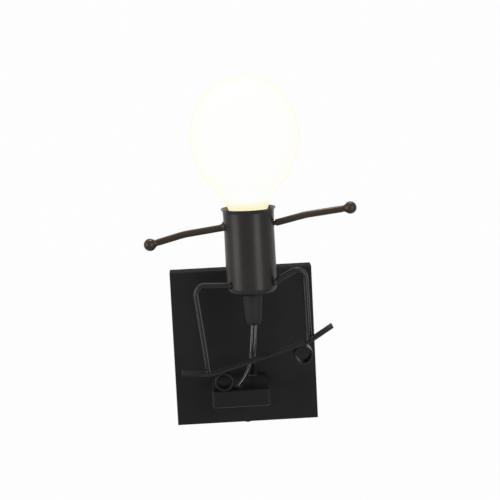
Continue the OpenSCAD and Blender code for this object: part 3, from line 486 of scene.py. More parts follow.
lead_r = 1.4
lead_sides = 16
earth_route = [
    (9.5, -6.5, 21.4), (9.5, -6.5, 12), (9.2, -6.2, 4), (8.2, -5.6, -5), (7, -5, -14),
    (6.2, -4.6, -20), (6, -4.5, -25),
]
earth_green, earth_yellow = (0.04, 0.19, 0.035), (0.70, 0.52, 0.03)
stripe_start, stripe_twist = 0.2, 0.5
earth_sheath = cable_sheath("green_yellow_sheath", earth_green)
earth_shader = earth_sheath.node_tree.nodes["Principled BSDF"]
earth_shade = Shade(earth_sheath.node_tree)
side_of_lead = earth_shade.node("Attribute", {"attribute_name": "side_of_lead"}, {}, "Fac")
yellow_side = earth_shade.maths("GREATER_THAN", side_of_lead, stripe_start)
earth_shade.feed(earth_shader, {"Base Color": yellow_side.blend((*earth_green, 1), (*earth_yellow, 1))})
bm = bmesh.new()
earth_line = smooth_route([Vector(point) for point in earth_route], 6)
rod(bm, earth_line, [lead_r] * len(earth_line), lead_sides, earth_sheath)
stripe = bm.verts.layers.float.new("side_of_lead")
for k, corner in enumerate(bm.verts):
    ring, step = divmod(k, lead_sides)
    corner[stripe] = math.cos(2 * math.pi * step / lead_sides + stripe_twist * ring / len(earth_line))
add_piece("earth_lead_sheath", bm, earth_sheath, ["earth_lead"])
dress(zinc, "earth_tag", "earth_screw")


# Canopy. A shallow box folded from steel sheet, open at the wall, with its corners
# welded and ground and the whole of it powder coated in satin black.
def powder_coat(name, tone, roughness, gloss, grain, peel_depth, gloss_tint=(1, 1, 1)):
    """Baked powder: a fine orange peel, slow waves under it and slightly uneven gloss."""
    material, shader, place = new_finish(name)
    peel = place.node("TexNoise", {}, {"Vector": place, "Scale": grain, "Detail": 2.0})
    flow = place.node("TexNoise", {}, {"Vector": place, "Scale": grain / 9, "Detail": 1.0})
    patches = place.node("TexNoise", {}, {"Vector": place, "Scale": 38.0, "Detail": 3.0})
    waves = peel * 0.6 + flow * 0.4
    place.feed(shader, {
        "Base Color": patches.blend(toned(tone, 0.8), toned(tone, 1.2)),
        "Roughness": patches * 0.1 + peel * 0.06 + (roughness - 0.08),
        "Specular IOR Level": gloss,
        "Specular Tint": (*gloss_tint, 1),
        "Normal": place.node("Bump", {}, {"Strength": peel_depth, "Distance": 0.00005, "Height": waves}),
    })
    return material


sheet_coat = powder_coat("black_sheet_coat", (0.0154, 0.0149, 0.0158), 0.9, 0.025, 1300.0, 0.35)
canopy_w, canopy_h, canopy_d = 129.0, 142.0, 20.0
canopy_sheet, canopy_fold, canopy_corner, canopy_rim = 1.2, 1.6, 0.5, 0.15
duct_x, duct_z = -6.3, -32.5
duct_w, duct_h, duct_corner = 47.0, 12.0, 1.25


def canopy_loop(inset, y):
    """The canopy's outline at one depth, set in from its outside."""
    return [(p.x, y, p.y) for p in box_loop(canopy_w - 2 * inset, canopy_h - 2 * inset, canopy_corner)]


folds = [math.radians(15 * k) for k in range(7)]
bm = bmesh.new()
lofted(bm, [
    canopy_loop(canopy_sheet, canopy_sheet - canopy_d),
    canopy_loop(canopy_sheet, -canopy_rim),
    canopy_loop(canopy_sheet - canopy_rim, 0),
    canopy_loop(canopy_rim, 0),
    canopy_loop(0, -canopy_rim),
    *[
        canopy_loop(canopy_fold * (1 - math.cos(a)), canopy_fold - canopy_d - canopy_fold * math.sin(a))
        for a in folds
    ],
])
duct = bmesh.new()
lofted(duct, [
    [(duct_x + p.x, y, duct_z + p.y) for p in box_loop(duct_w, duct_h, duct_corner)]
    for y in (canopy_sheet - canopy_d + cut_past, -canopy_d - cut_past)
])
add_piece("canopy_sheet", bm, sheet_coat, ["canopy"], holes=duct)


# Canopy screws. A black pan-head screw with a cross recess goes through the canopy's
# top and another through its bottom, into the bracket's tabs.
def turned(bm, outline, placed, sides=96, closed=True):
    """Spins a half outline of radius and height points about the placed Z axis."""
    turns = [2 * math.pi * i / sides for i in range(sides)]
    rings = []
    for radius, height in outline:
        spots = [Vector((radius * math.cos(turn), radius * math.sin(turn), height)) for turn in turns]
        on_axis = radius < 1e-6
        rings.append([bm.verts.new(placed @ spot) for spot in (spots[:1] if on_axis else spots)])
    for low, high in zip(rings, rings[1:] + rings[:1] if closed else rings[1:]):
        for i in range(sides):
            j = i + 1
            face = (low[i % len(low)], low[j % len(low)], high[j % len(high)], high[i % len(high)])
            corners = list(dict.fromkeys(face))
            if len(corners) > 2:
                bm.faces.new(corners)


# A screw on each point, with its head facing the point's own way
screws_on_points = geometry_tree(
    "screws_on_points", {"Places": "Geometry", "Screw": "Object"},
    {
        "model": ("GeometryNodeObjectInfo", {}, {}),
        "facing": ("GeometryNodeInputNamedAttribute", {"data_type": "FLOAT_VECTOR"}, {"Name": "facing"}),
        "turn": ("FunctionNodeAlignRotationToVector", {"axis": "Z"}, {}),
        "put": ("GeometryNodeInstanceOnPoints", {}, {}),
    },
    (
        ("inputs", "Screw", "model", "Object"), ("inputs", "Places", "put", "Points"),
        ("model", "Geometry", "put", "Instance"), ("facing", "Attribute", "turn", "Vector"),
        ("turn", "Rotation", "put", "Rotation"), ("put", "Instances", "real", "Geometry"),
    ),
)
screw_head_r, screw_head_h = 3.5, 2.2
screw_r, screw_root_r, screw_len, screw_pitch = 2.0, 1.65, 6.2, 0.7
crown_w, crown_h, crown_r, head_edge_r = 0.9, 0.75, 0.7, 0.12
screw_turns, screw_sides, point_w = 8, 48, 0.4
recess_reach, recess_half, recess_core = 1.9, 0.36, 0.42
recess_steps = ((1.12, 0.3), (1.0, 0.0), (0.45, -1.15))
screw_black = plated("black_zinc_screw", (0.045, 0.045, 0.048), 0.42)
half_turns = range(1, 2 * screw_turns + 1)
shank = [(screw_r if k % 2 else screw_root_r, -screw_pitch * k / 2, 0) for k in half_turns]
screw_outline = eased([
    (0, screw_head_h, 0), (screw_head_r - crown_w, screw_head_h, 0),
    (screw_head_r, screw_head_h - crown_h, crown_r), (screw_head_r, 0, head_edge_r),
    (screw_root_r, 0, 0), *shank, (screw_root_r - point_w, -screw_len, 0), (0, -screw_len, 0),
], 5, closed=False)
screw_bm, recess = bmesh.new(), bmesh.new()
turned(screw_bm, screw_outline, Matrix.Identity(4), screw_sides, closed=False)
bmesh.ops.recalc_face_normals(screw_bm, faces=screw_bm.faces)
quarter = ((recess_reach, recess_half), (recess_core, recess_core), (recess_half, recess_reach))
cross = [Matrix.Rotation(math.pi / 2 * k, 2) @ Vector(corner) for k in range(4) for corner in quarter]
lofted(recess, [
    [(corner.x * share, corner.y * share, screw_head_h + rise) for corner in cross]
    for share, rise in recess_steps
])
bmesh.ops.recalc_face_normals(recess, faces=recess.faces)
screw, punch = mesh_object("screw", screw_bm), mesh_object("recess", recess)
screw.modifiers.new("recess", "BOOLEAN").object = punch
settle(screw)
places = bpy.data.meshes.new("screw_places")
places.from_pydata([(0, canopy_screw_y, canopy_h / 2), (0, canopy_screw_y, -canopy_h / 2)], [], [])
places.attributes.new("facing", "FLOAT_VECTOR", "POINT").data.foreach_set("vector", (0, 0, 1, 0, 0, -1))
screw_set = new_object("screw_set", places)
run_tree(screw_set, screws_on_points, {"Screw": screw, "Finish": screw_black})
bm = bmesh.new()
bm.from_mesh(screw_set.data)
for spare in (screw_set, screw, punch):
    bpy.data.objects.remove(spare)
add_piece("canopy_screw_pair", bm, screw_black, ["canopy_screws"], sharp=30)


# Support arm. A closed box section of welded steel sheet, butted and welded to the
# canopy's front. Its edges are rounded and it is coated with the canopy.
support_coat = powder_coat("black_support_coat", (0.0080, 0.0078, 0.0081), 0.4, 0.085, 1300.0, 0.2)
support_w, support_h = 50.0, 15.0
support_back, support_front = -20.0, -89.5
support_sheet = 1.5
support_edge = 2.0


def support_loop(inset, y, radius):
    """The box section's outline at one depth, set in from its outside."""
    loop = box_loop(support_w - 2 * inset, support_h - 2 * inset, max(radius, least_r))
    return [(duct_x + p.x, y, duct_z + p.y) for p in loop]


bm = bmesh.new()
lofted(bm, [
    support_loop(support_sheet, support_front + support_sheet, duct_corner),
    support_loop(support_sheet, support_back, duct_corner),
    support_loop(0, support_back, support_edge),
    *[
        support_loop(
            support_edge * (1 - math.cos(a)),
            support_front + support_edge - support_edge * math.sin(a),
            support_edge * math.cos(a),
        )
        for a in folds
    ],
])
add_piece("support_box", bm, support_coat, ["support_arm"])


# Skateboard. One steel strip with both ends kicked up on a press brake, its cut edges
# broken with a file. Two short tubes are welded under it for wheels.
board_coat = powder_coat("black_board_coat", (0.0104, 0.0107, 0.0114), 0.44, 0.12, 1300.0, 0.25)
board_w, board_t = 16.0, 1.8
board_y = -81.5
board_tilt = math.radians(15.8)
wheel_r, wheel_wall, wheel_len = 8.2, 1.7, 16.0
wheel_edge = 0.8
weld_flat = 0.15
left_wheel_x, left_wheel_z = -20.4, -16.95
wheelbase = 73.2
board_v = wheel_r - weld_flat + board_t / 2
left_bend, right_bend = 7.8, 8.1
left_kick, right_kick = 26.7, 25.0
left_angle, right_angle = math.radians(20.3), math.radians(15.7)
board_bend_r = 18.0
broken_edge = 0.35


def on_board(u, v):
    """A point beside the board: u along it from the left wheel, v square to it."""
    return Vector((
        left_wheel_x + u * math.cos(board_tilt) - v * math.sin(board_tilt),
        board_y,
        left_wheel_z + u * math.sin(board_tilt) + v * math.cos(board_tilt),
    ))


board_path = eased([
    (-left_bend - left_kick * math.cos(left_angle), board_v + left_kick * math.sin(left_angle), 0),
    (-left_bend, board_v, board_bend_r),
    (wheelbase + right_bend, board_v, board_bend_r),
    (
        wheelbase + right_bend + right_kick * math.cos(right_angle),
        board_v + right_kick * math.sin(right_angle),
        0,
    ),
], 10, closed=False)
bm = bmesh.new()
bent_strip(
    bm, board_path, board_w, board_t, broken_edge,
    lambda at, across: on_board(*at) + Vector((0, across, 0)),
)
add_piece("board_strip", bm, board_coat, ["skateboard"])

wheel_coat = powder_coat("black_wheel_coat", (0.0100, 0.0100, 0.0106), 0.34, 0.08, 1300.0, 0.2)
wheel_half, wheel_bore_r = wheel_len / 2, wheel_r - wheel_wall
wheel_outline = eased([
    (wheel_r, -wheel_half, wheel_edge), (wheel_r, wheel_half, wheel_edge),
    (wheel_bore_r, wheel_half, wheel_edge), (wheel_bore_r, -wheel_half, wheel_edge),
], 7)
for side, u in (("left", 0), ("right", wheelbase)):
    bm = bmesh.new()
    turned(bm, wheel_outline, Matrix.Translation(on_board(u, 0)) @ Matrix.Rotation(math.pi / 2, 4, "X"))
    add_piece(f"wheel_ring_{side}", bm, wheel_coat, [f"{side}_wheel"])


# Leads. Two single black insulated leads come out of the cord grip, hang behind the
# board and go through rubber bushes into the support arm and on to the terminal block.
black_sheath = cable_sheath("black_cable_sheath", (0.010, 0.010, 0.011))
cup_x, cup_y = 8.5, -68.0
holder_to_grip = (
    (8.0, 76.7), (7.5, 74.3), (6.1, 71.9), (3.6, 69.3), (2.0, 66.9),
    (1.45, 64.1), (1.45, 55.1), (1.45, 46.5), (1.45, 37.9), (1.45, 29.3),
)
live_route = (
    (6.6, -68, 22.6), (5.9, -68, 15.1), (5, -68, 6.7), (4.2, -67.7, -0.8), (2.9, -67.6, -7.2),
    (0.9, -67.9, -11.8), (-1.5, -68.6, -16.1), (-3.9, -69.8, -19.6), (-6.4, -71.2, -22.4),
    (-8.3, -72.2, -25), (-8.8, -72.5, -27.8), (-8.8, -71.6, -30.6), (-8.8, -69, -32.6),
    (-8.8, -64.5, -33.2), (-8.8, -54, -33.2), (-8.8, -42, -33.2), (-9, -30, -33.2),
    (-9.2, -21.6, -32.8), (-9.4, -15.8, -30.2), (-9.5, -11.6, -25.4), (-9.5, -9.4, -19),
    (-9.5, -8, -10.4), (-9.5, -7, 0), (-9.5, -6.5, 10), (-9.5, -6.5, 21.4),
)
neutral_route = (
    (9.5, -68, 22.6), (8.8, -68, 15.1), (7.9, -67.8, 6.7), (7.1, -66.8, -0.8), (6.6, -63.6, -6.7),
    (6.2, -57.8, -11), (5.8, -50.2, -14.2), (5.6, -42.8, -16.6), (5.5, -36.4, -18.9),
    (5.5, -32.6, -21.7), (5.5, -30.9, -24.9), (5.5, -30.5, -27.7), (5.5, -29.4, -30.5),
    (5.3, -26.8, -32.5), (4.5, -22.2, -33.1), (3.1, -17.4, -31.7), (1.6, -13.6, -27.8),
    (0.6, -10.9, -22), (0, -9.1, -14), (0, -7.7, -5), (0, -6.7, 5), (0, -6.5, 13), (0, -6.5, 21.4),
)
for name, side, route in (("live_lead", -1, live_route), ("neutral_lead", 1, neutral_route)):
    bm = bmesh.new()
    upper = [(cup_x + side * off_axis, cup_y, z) for off_axis, z in holder_to_grip]
    line = smooth_route([Vector(point) for point in (*upper, *route)], 4)
    rod(bm, line, [lead_r] * len(line), lead_sides, black_sheath)
    length = sum((b - a).length for a, b in zip(line, line[1:]))
    sheath = add_piece(f"{name}_sheath", bm, black_sheath, [name])
    line[0] / mm_per_m
    [point / mm_per_m for point in line]


# Grommets. Black rubber bushes snapped into the two holes in the support arm's top,
# with a rounded mouth that keeps the leads off the sheet's edge.
bush_rubber = moulded("black_bush_rubber", (0.012, 0.012, 0.012), 0.55, 0.3, 1800.0)
bush_places = ((-8.8, -72.5), (5.5, -30.5))
bush_low, sheet_low, sheet_high, bush_high = -27.4, -26.5, -25.0, -24.1
bush_bore_r, bush_waist_r, bush_flange_r = 2.4, 3.5, 4.8
bush_mouth_r, bush_brow_r = 3.2, 4.5
bush_outline = eased([
    (bush_bore_r, bush_low, 0.3), (bush_flange_r, bush_low, 0.3), (bush_flange_r, sheet_low, 0.2),
    (bush_waist_r, sheet_low, 0), (bush_waist_r, sheet_high, 0), (bush_flange_r, sheet_high, 0.2),
    (bush_brow_r, bush_high, 0.4), (bush_mouth_r, bush_high, 0.4), (bush_bore_r, sheet_high, 0.6),
], 4)
bm = bmesh.new()
for x, y in bush_places:
    turned(bm, bush_outline, Matrix.Translation((x, y, 0)), 48)
add_piece("lead_bushes", bm, bush_rubber, ["lead_grommets"])


# Legs. Two bent steel rods. The thigh is coped to the cup and the foot is cut to the
# board's slope, and both are welded with a small fillet before coating.
leg_r = 2.55
leg_y = -79.0
knee_r = 7.5
foot_v = board_v + board_t / 2
fillet = 0.9
weld_steps = (0.0, 0.4, 0.9, 1.5, 2.2, 8.0)
hip_weld, foot_weld = (-0.1, 0.45, 0.7, 0.4, 0.0, 0.0), (0.9, 1.0, 0.85, 0.4, 0.0, 0.0)
cut_tries = 12
cup_hip_r = 22.3
rod_coat = powder_coat("black_rod_coat", (0.0062, 0.0060, 0.0062), 0.23, 0.21, 1100.0, 0.1)
leg_sides = 40


def board_clearance(point):
    """How far a point is above the board's top, square to its straight part."""
    offset = point - on_board(0, 0)
    u = offset.x * math.cos(board_tilt) + offset.z * math.sin(board_tilt)
    v = offset.z * math.cos(board_tilt) - offset.x * math.sin(board_tilt)
    top_r = board_bend_r - board_t / 2
    for past, angle in ((-left_bend - u, left_angle), (u - wheelbase - right_bend, right_angle)):
        past += board_bend_r * math.tan(angle / 2)
        if past > 0:
            on_bend = min(past, top_r * math.sin(angle))
            v -= top_r - math.sqrt(top_r ** 2 - on_bend ** 2) + (past - on_bend) * math.tan(angle)
    return v - foot_v


for side_name, side, hip_z, knee, foot_u in (
    ("left", -1, 66.2, Vector((-41.3, 67.8)), -10.2),
    ("right", 1, 67.3, Vector((54.8, 82.0)), wheelbase + 8.8),
):
    foot_spot = on_board(foot_u, foot_v)
    foot = Vector((foot_spot.x, foot_spot.z))
    hip_x = cup_x + side * math.sqrt(cup_hip_r ** 2 - (leg_y - cup_y) ** 2)
    flat = eased([(hip_x, hip_z, 0), (*knee, knee_r), (*foot, 0)], 20, closed=False)
    thigh = (flat[1] - flat[0]).normalized()
    shin = (flat[-2] - flat[-1]).normalized()
    near_hip = [flat[0] + thigh * step for step in weld_steps]
    near_foot = [flat[-1] + shin * step for step in reversed(weld_steps)]
    hip_swell = [leg_r + fillet * part for part in hip_weld]
    foot_swell = [leg_r + fillet * part for part in foot_weld]
    line = [(p.x, leg_y, p.y) for p in [*near_hip, *flat[1:-1], *near_foot]]
    radii = [*hip_swell, *[leg_r] * (len(flat) - 2), *reversed(foot_swell)]
    bm = bmesh.new()
    corners = rod(bm, line, radii, leg_sides, rod_coat)
    along = Vector((thigh.x, 0, thigh.y))
    last = len(weld_steps) - 1
    for k, step in enumerate(weld_steps):
        for corner in corners[k * leg_sides:(k + 1) * leg_sides]:
            depth = corner.co.y - cup_y
            wall_x = cup_x + side * math.sqrt(cup_hip_r ** 2 - depth ** 2)
            corner.co += along * ((wall_x - corner.co.x) / along.x + step) * (1 - k / last)
    down = Vector((-shin.x, 0, -shin.y))
    for k, step in enumerate(weld_steps):
        for corner in corners[len(corners) - (k + 1) * leg_sides:len(corners) - k * leg_sides]:
            reach = 0.0
            for _ in range(cut_tries):
                reach += board_clearance(corner.co + down * reach) / math.cos(board_tilt)
            corner.co += down * (reach - step) * (1 - k / last)
    add_piece(f"leg_rod_{side_name}", bm, rod_coat, [f"{side_name}_leg"])


# Cup. The figure's body is a deep-drawn steel cup with a rounded bottom edge and a
# flared lip. It hides the lampholder, and the arms and legs are fixed to its wall.
cup_axis = Matrix.Translation((cup_x, cup_y, 0))
cup_low, cup_high = 57.4, 132.1
cup_wall, cup_lip_wall = 1.1, 0.65
cup_waist_r, cup_top_r, cup_lip_r = 21.95, 22.4, 24.0
cup_edge_r = 6.0
cup_lip_h = 3.4
cup_hole_r = 5.05
cup_straight_z, cup_waist_z, cup_flare_z = cup_low + cup_edge_r, 110.0, cup_high - cup_lip_h
flare_angle = 2 * math.atan((cup_lip_r - cup_top_r) / cup_lip_h)
flare_r = cup_lip_h / math.sin(flare_angle)
wall_steps, flare_steps = 8, 12


def arc(x, y, radius, start, end, steps):
    """Points on part of a circle, with its angles in degrees."""
    angles = [math.radians(start + (end - start) * k / steps) for k in range(steps + 1)]
    return [Vector((x + radius * math.cos(a), y + radius * math.sin(a))) for a in angles]


def cup_outer_r(z):
    """The wall's outer radius: a slight taper up to a waist and a gentle swell from there on."""
    if z < cup_waist_z:
        return cup_hip_r + (cup_waist_r - cup_hip_r) * (z - cup_straight_z) / (cup_waist_z - cup_straight_z)
    return cup_waist_r + (cup_top_r - cup_waist_r) * ((z - cup_waist_z) / (cup_flare_z - cup_waist_z)) ** 2


def cup_side(inset, lip_inset):
    """The wall from its bottom edge to the lip, set in from its outside."""
    edge = arc(cup_hip_r - cup_edge_r, cup_straight_z, cup_edge_r - inset, -90, 0, 10)
    for k in range(wall_steps):
        z = cup_waist_z + (cup_flare_z - cup_waist_z) * k / wall_steps
        edge.append(Vector((cup_outer_r(z) - inset, z)))
    for k in range(flare_steps + 1):
        angle = math.pi - flare_angle * k / flare_steps
        reach = flare_r + inset + (lip_inset - inset) * k / flare_steps
        across = cup_top_r + flare_r + reach * math.cos(angle)
        edge.append(Vector((across, cup_flare_z + reach * math.sin(angle))))
    return edge


outside, inside = cup_side(0, 0), cup_side(cup_wall, cup_lip_wall)
lip = (outside[-1] + inside[-1]) / 2
lip_turn = math.degrees(math.atan2(outside[-1].y - lip.y, outside[-1].x - lip.x))
lip_round = arc(lip.x, lip.y, cup_lip_wall / 2, lip_turn, lip_turn + 180, 8)
cup_outline = [
    Vector((cup_hole_r, cup_low)), *outside[:-1], *lip_round,
    *reversed(inside[:-1]), Vector((cup_hole_r, cup_low + cup_wall)),
]
# The cup's black has a slightly warm tone and a warm gloss tint: painted warm light and painted warm
# reflection from the bulb.
cup_coat = powder_coat(
    "black_cup_coat_painted_bulb_light", (0.0095, 0.0087, 0.0077), 0.34, 0.21, 1300.0, 0.25, (1, 0.967, 0.925),
)
bm = bmesh.new()
turned(bm, cup_outline, cup_axis, 144)
add_piece("cup_shell", bm, cup_coat, ["cup"])


# Arms and hands. Each arm is a gently bent steel rod with a turned-down spigot in the
# cup's wall, welded there on the left side. A ball hand has a stud in its outer end.
# The arms and hands wear the same black powder as the rest. Its tone is painted brown and its gloss tinted
# warm: painted warm light and painted warm reflection from the bulb.
arm_coat = powder_coat(
    "black_arm_coat_painted_bulb_light", (0.0175, 0.0118, 0.0080), 0.3, 0.24, 1100.0, 0.08, (1, 0.88, 0.77),
)
arm_r, spigot_r = 3.0, 2.0
arm_sides = 40
elbow_r = 60.0
spigot_start, spigot_ease, spigot_stop = 19.1, 0.3, 0.5
shoulder_ease = ((0.0, spigot_r - arm_r), (0.02, -0.5), (0.15, -0.15), (0.5, 0.0))
wrist_ease = ((0.35, 0.0), (0.1, 0.1), (0.0, 0.35))
weld_flare = (
    (-0.55, 1.6), (-0.2, 1.2), (0.2, 0.85), (0.7, 0.53), (1.3, 0.28), (2.0, 0.12), (2.8, 0.04), (3.6, 0.0),
)
hand_r, hand_collar_r, hand_neck_r, hand_neck = 5.5, 3.9, 2.75, 1.6
hand_top_angle, hand_sides = 84, 64
collar_sweep, collar_rise = Vector((0.8, 0.8)), 1.0
stud_r, stud_len = 1.8, 7.5


def curve_points(a, b, c, d, steps):
    """Points on a smooth curve from a to d, drawn towards b and c."""
    a, b, c, d = Vector(a), Vector(b), Vector(c), Vector(d)
    made = []
    for k in range(steps + 1):
        t = k / steps
        back = 1 - t
        made.append(a * back ** 3 + b * 3 * t * back ** 2 + c * 3 * t * t * back + d * t ** 3)
    return made


collar_angle = math.degrees(math.asin(hand_collar_r / hand_r)) - 90
ball = arc(0, 0, hand_r, hand_top_angle, collar_angle, 26)
wrist_y = -hand_r - hand_neck
collar_end = Vector((hand_neck_r, wrist_y))
collar = curve_points(
    ball[-1], ball[-1] - collar_sweep, (hand_neck_r, wrist_y + collar_rise), collar_end, 8,
)
hand_outline = [
    Vector((0, hand_r)), *ball, *collar[1:], Vector((stud_r, wrist_y)),
    Vector((stud_r, wrist_y - stud_len)), Vector((0, wrist_y - stud_len)),
]
for side_name, side, shoulder_z, upper, upper_slope, fore, fore_slope, neck, bead in (
    ("left", -1, 119.0, 57.7, -6.9, 30.8, -14.1, 0.4, 1.8),
    ("right", 1, 113.1, 51.4, 12.0, 39.3, 6.0, 1.4, 0.0),
):
    upper_slope, fore_slope = math.radians(upper_slope), math.radians(fore_slope)
    out = Vector((side * math.cos(upper_slope), math.sin(upper_slope)))
    fore_out = Vector((side * math.cos(fore_slope), math.sin(fore_slope)))
    shoulder = Vector((cup_x, shoulder_z))
    elbow = shoulder + out * upper
    hand = elbow + fore_out * fore
    wrist = hand - fore_out * (hand_r + hand_neck)
    wall_r = cup_outer_r(shoulder_z)
    rod_start = wall_r / math.cos(upper_slope) + neck
    bend = eased([(*(shoulder + out * rod_start), 0), (*elbow, elbow_r), (*wrist, 0)], 14, closed=False)
    spigot = [
        (spigot_start, spigot_r - spigot_ease), (spigot_start + spigot_ease, spigot_r),
        (rod_start - neck - spigot_stop, spigot_r),
    ]
    if bead:
        root = [(reach, arm_r + bead * part) for reach, part in weld_flare]
    else:
        root = [(reach, arm_r + more) for reach, more in shoulder_ease]
    stations = [
        *[(shoulder + out * reach, radius) for reach, radius in spigot],
        *[(shoulder + out * (rod_start + reach), radius) for reach, radius in root],
        *[(p, arm_r) for p in bend[1:-1]],
        *[(wrist - fore_out * back, arm_r - less) for back, less in wrist_ease],
    ]
    bm = bmesh.new()
    line = [(p.x, cup_y, p.y) for p, _ in stations]
    corners = rod(bm, line, [radius for _, radius in stations], arm_sides, arm_coat)
    if bead:
        for k, (reach, part) in enumerate(weld_flare):
            ring = len(spigot) + k
            centre = shoulder + out * (rod_start + reach)
            centre = Vector((centre.x, cup_y, centre.y))
            for corner in corners[ring * arm_sides:(ring + 1) * arm_sides]:
                outward = (corner.co - centre).normalized()
                corner.co = centre + outward * (arm_r + bead * part * (0.5 + 0.5 * outward.z))
                depth = corner.co.y - cup_y
                behind = wall_r - math.sqrt(wall_r ** 2 - depth ** 2)
                corner.co.x -= side * behind * (1 - k / len(weld_flare))
    add_piece(f"arm_rod_{side_name}", bm, arm_coat, [f"{side_name}_arm"])

    facing = Vector((fore_out.x, 0, fore_out.y)).to_track_quat("Z", "Y").to_matrix().to_4x4()
    bm = bmesh.new()
    turned(bm, hand_outline, Matrix.Translation((hand.x, cup_y, hand.y)) @ facing, hand_sides, closed=False)
    add_piece(f"hand_ball_{side_name}", bm, arm_coat, [f"{side_name}_hand"])


# Cord grip. A tapered black nylon grip screwed on the nipple under the cup. It rounds
# in to a mouth that the two leads come out of.
grip_nylon = moulded("black_grip_nylon", (0.0128, 0.0128, 0.0137), 0.55, 0.14, 1600.0)
grip_low, grip_shoulder_z, nipple_low = 28.8, 37.8, 49.1
grip_bore_r, grip_mouth_r, grip_shoulder_r, grip_top_r = 3.7, 4.7, 7.6, 8.8
mouth_pull, shoulder_pull = (6.3, grip_low + 0.6), (7.2, 33.2)
grip_edge = 0.3
grip_side = curve_points(
    (grip_mouth_r, grip_low), mouth_pull, shoulder_pull, (grip_shoulder_r, grip_shoulder_z), 12,
)
grip_outline = [Vector(point) for point in (
    (grip_bore_r, grip_low + 0.4), (grip_bore_r + grip_edge, grip_low), *grip_side,
    (grip_top_r - 0.05, cup_low - 1.2), (grip_top_r, cup_low - 0.9), (grip_top_r, cup_low - grip_edge),
    (grip_top_r - grip_edge, cup_low), (cup_hole_r, cup_low), (cup_hole_r, nipple_low),
    (grip_bore_r, nipple_low),
)]
bm = bmesh.new()
turned(bm, grip_outline, cup_axis, 96)
add_piece("grip_cone", bm, grip_nylon, ["cord_grip"], sharp=50)
dress(grip_nylon, "grip_screw")
dress(zinc, "threaded_nipple", "lock_nut")


# Lampholder. A black phenolic base and sleeve screwed together round a glazed ceramic
# insert, with a pressed brass shell and leaf for the bulb and a brass block for each lead.
phenolic = moulded("black_phenolic", (0.018, 0.016, 0.015), 0.38, 0.4, 900.0)
glazed_ceramic = moulded("glazed_ceramic", (0.80, 0.78, 0.72), 0.2, 0.5, 500.0)
dress(phenolic, "lampholder_base", "lampholder_sleeve")
dress(glazed_ceramic, "lampholder_insert")
dress(brass, "holder_terminals", "thread_shell", "centre_contact")
dress(zinc, "holder_screws")


# Bulb cap. Thin nickel-plated brass with a rolled thread, crimped on a white driver
# housing that carries the ring of diodes. A black glass cone holds the soldered tip.
nickel = plated("nickel_plate", (0.66, 0.65, 0.61), 0.28)
cap_low, cap_thread_low, cap_thread_high, cap_rim = 101.8, 103.4, 119.4, 124.0
cap_crest_r, cap_root_r, cap_foot_r, cap_rim_r = 13.1, 12.1, 11.5, 13.4
cap_wall = 0.3
cap_pitch = 3.629
cap_skirt_rise, cap_thread_fade = 1.4, 1.6
cap_sides, cap_steps = 96, 74


def cap_radius(z, angle):
    """The cap's outer radius: a round thread that fades into the foot and the skirt."""
    if z <= cap_thread_low:
        return cap_foot_r + (cap_root_r - cap_foot_r) * max(0.0, (z - cap_low) / (cap_thread_low - cap_low))
    if z >= cap_thread_high:
        return cap_root_r + (cap_rim_r - cap_root_r) * min(1.0, (z - cap_thread_high) / cap_skirt_rise)
    fade = min(1.0, (z - cap_thread_low) / cap_thread_fade, (cap_thread_high - z) / cap_thread_fade)
    wave = 0.5 + 0.5 * math.cos(2 * math.pi * z / cap_pitch - angle)
    return cap_root_r + (cap_crest_r - cap_root_r) * fade * wave


bm = bmesh.new()
cap_rows = [cap_low + (cap_rim - cap_low) * k / cap_steps for k in range(cap_steps + 1)]
cap_turns = [2 * math.pi * i / cap_sides for i in range(cap_sides)]
cap_rings = []
for rows, inset in ((cap_rows, 0.0), (cap_rows[::-1], cap_wall)):
    for z in rows:
        reaches = [(cap_radius(z, turn) - inset, turn) for turn in cap_turns]
        spots = [(cup_x + r * math.cos(turn), cup_y + r * math.sin(turn), z) for r, turn in reaches]
        cap_rings.append([bm.verts.new(spot) for spot in spots])
for low, high in zip(cap_rings, cap_rings[1:] + cap_rings[:1]):
    for i in range(cap_sides):
        bm.faces.new((low[i - 1], low[i], high[i], high[i - 1]))
add_piece("cap_shell", bm, nickel, ["bulb_cap"], body="bulb")

white_plastic = moulded("white_plastic", (0.82, 0.82, 0.81), 0.45, 0.5, 900.0)
housing_low, housing_high = 104.8, 130.0
housing_r, housing_skirt_r, housing_edge = 11.6, 12.6, 0.5
housing_outline = eased([
    (0, housing_low, 0), (housing_r, housing_low, housing_edge), (housing_r, cap_thread_high, 0),
    (housing_skirt_r, cap_thread_high + cap_skirt_rise, 0), (housing_skirt_r, housing_high, housing_edge),
    (0, housing_high, 0),
], 5, closed=False)
bm = bmesh.new()
turned(bm, housing_outline, cup_axis, 64, closed=False)
add_piece("driver_cup", bm, white_plastic, ["driver_housing"], body="bulb")
dress(white_plastic, "led_board")
dress(moulded("black_cap_glass", (0.012, 0.012, 0.014), 0.14, 0.5, 300.0), "bulb_insulator")
dress(plated("soldered_tip", (0.60, 0.60, 0.60), 0.40), "bulb_tip")


# Bulb. A blown opal glass globe, cemented on the cap's rim. It is lit from inside, so
# it glows almost white, a little warmer towards its neck.
globe_r, globe_half = 47.5, 54.0
globe_z = 193.8
globe_wall = 1.2
neck_r, neck_z = 14.2, 124.0
join_angle = -50
globe_slim = 1.3
neck_pull, foot_pull = 12, Vector((3.4, 9.5))
globe_steps, neck_steps = 40, 16
warm_low, warm_high = 0.128, 0.143


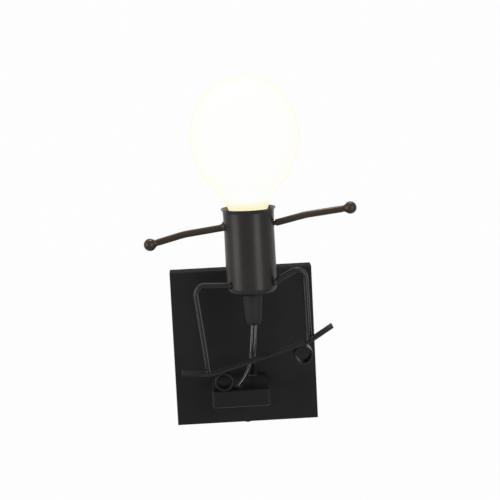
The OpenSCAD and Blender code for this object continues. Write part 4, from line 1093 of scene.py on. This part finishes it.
def globe_side(inset):
    """The glass from its top to its foot, set in from its outside."""
    a, b = globe_r - inset, globe_half - inset
    join = math.radians(join_angle)
    angles = [math.pi / 2 + (join - math.pi / 2) * k / globe_steps for k in range(globe_steps + 1)]
    slim = [globe_slim * math.sin(math.pi * max(0.0, t / join)) ** 2 for t in angles]
    side = [Vector((a * math.cos(t) - less, globe_z + b * math.sin(t))) for t, less in zip(angles, slim)]
    inward = Vector((a * math.sin(join), -b * math.cos(join))).normalized()
    foot = Vector((neck_r - inset, neck_z))
    neck = curve_points(side[-1], side[-1] + inward * neck_pull, foot + foot_pull, foot, neck_steps)
    return side[:-1] + neck


opal, shader, place = new_finish("opal_glass")
height = place.node("SeparateXYZ", {}, {"Vector": place}, "Z")
above_foot = place.node("MapRange", {"interpolation_type": "SMOOTHSTEP"}, {
    "Value": height, "From Min": warm_low, "From Max": warm_high,
})
haze = place.node("TexNoise", {}, {"Vector": place, "Scale": 24.0, "Detail": 2.0})
place.feed(shader, {
    "Base Color": (0.03, 0.03, 0.029, 1),
    "Roughness": haze * 0.06 + 0.32,
    "Specular IOR Level": 0.01,
    "Coat Weight": 1.0,
    "Coat IOR": 1.0,
    "Coat Tint": (0.998, 0.986, 0.9645, 1),
    "Emission Color": above_foot.blend((0.93, 0.885, 0.47, 1), (0.954, 0.982, 0.985, 1)),
    "Emission Strength": 1.0,
})
outer, inner = globe_side(0), globe_side(globe_wall)
outer[0].x = inner[0].x = 0
bm = bmesh.new()
turned(bm, outer + inner[::-1], cup_axis, 144, closed=False)
globe = add_piece("globe_glass", bm, opal, ["bulb_globe"], body="bulb")
globe.visible_shadow = False
for name, z, radius, power, tint in (
    ("bulb_glow", globe_z, 0.044, 1.0, (1.0, 0.76, 0.48)),
    ("neck_glow", neck_z + 13, 0.011, 0.45, (1.0, 0.68, 0.32)),
):
    glow = bpy.data.lights.new(name, "POINT")
    glow.energy = power
    glow.color = tint
    glow.shadow_soft_size = radius
    glow_lamp = new_object(name, glow)
    glow_lamp.location = (cup_x / mm_per_m, cup_y / mm_per_m, z / mm_per_m)
    glow_lamp.visible_camera = False
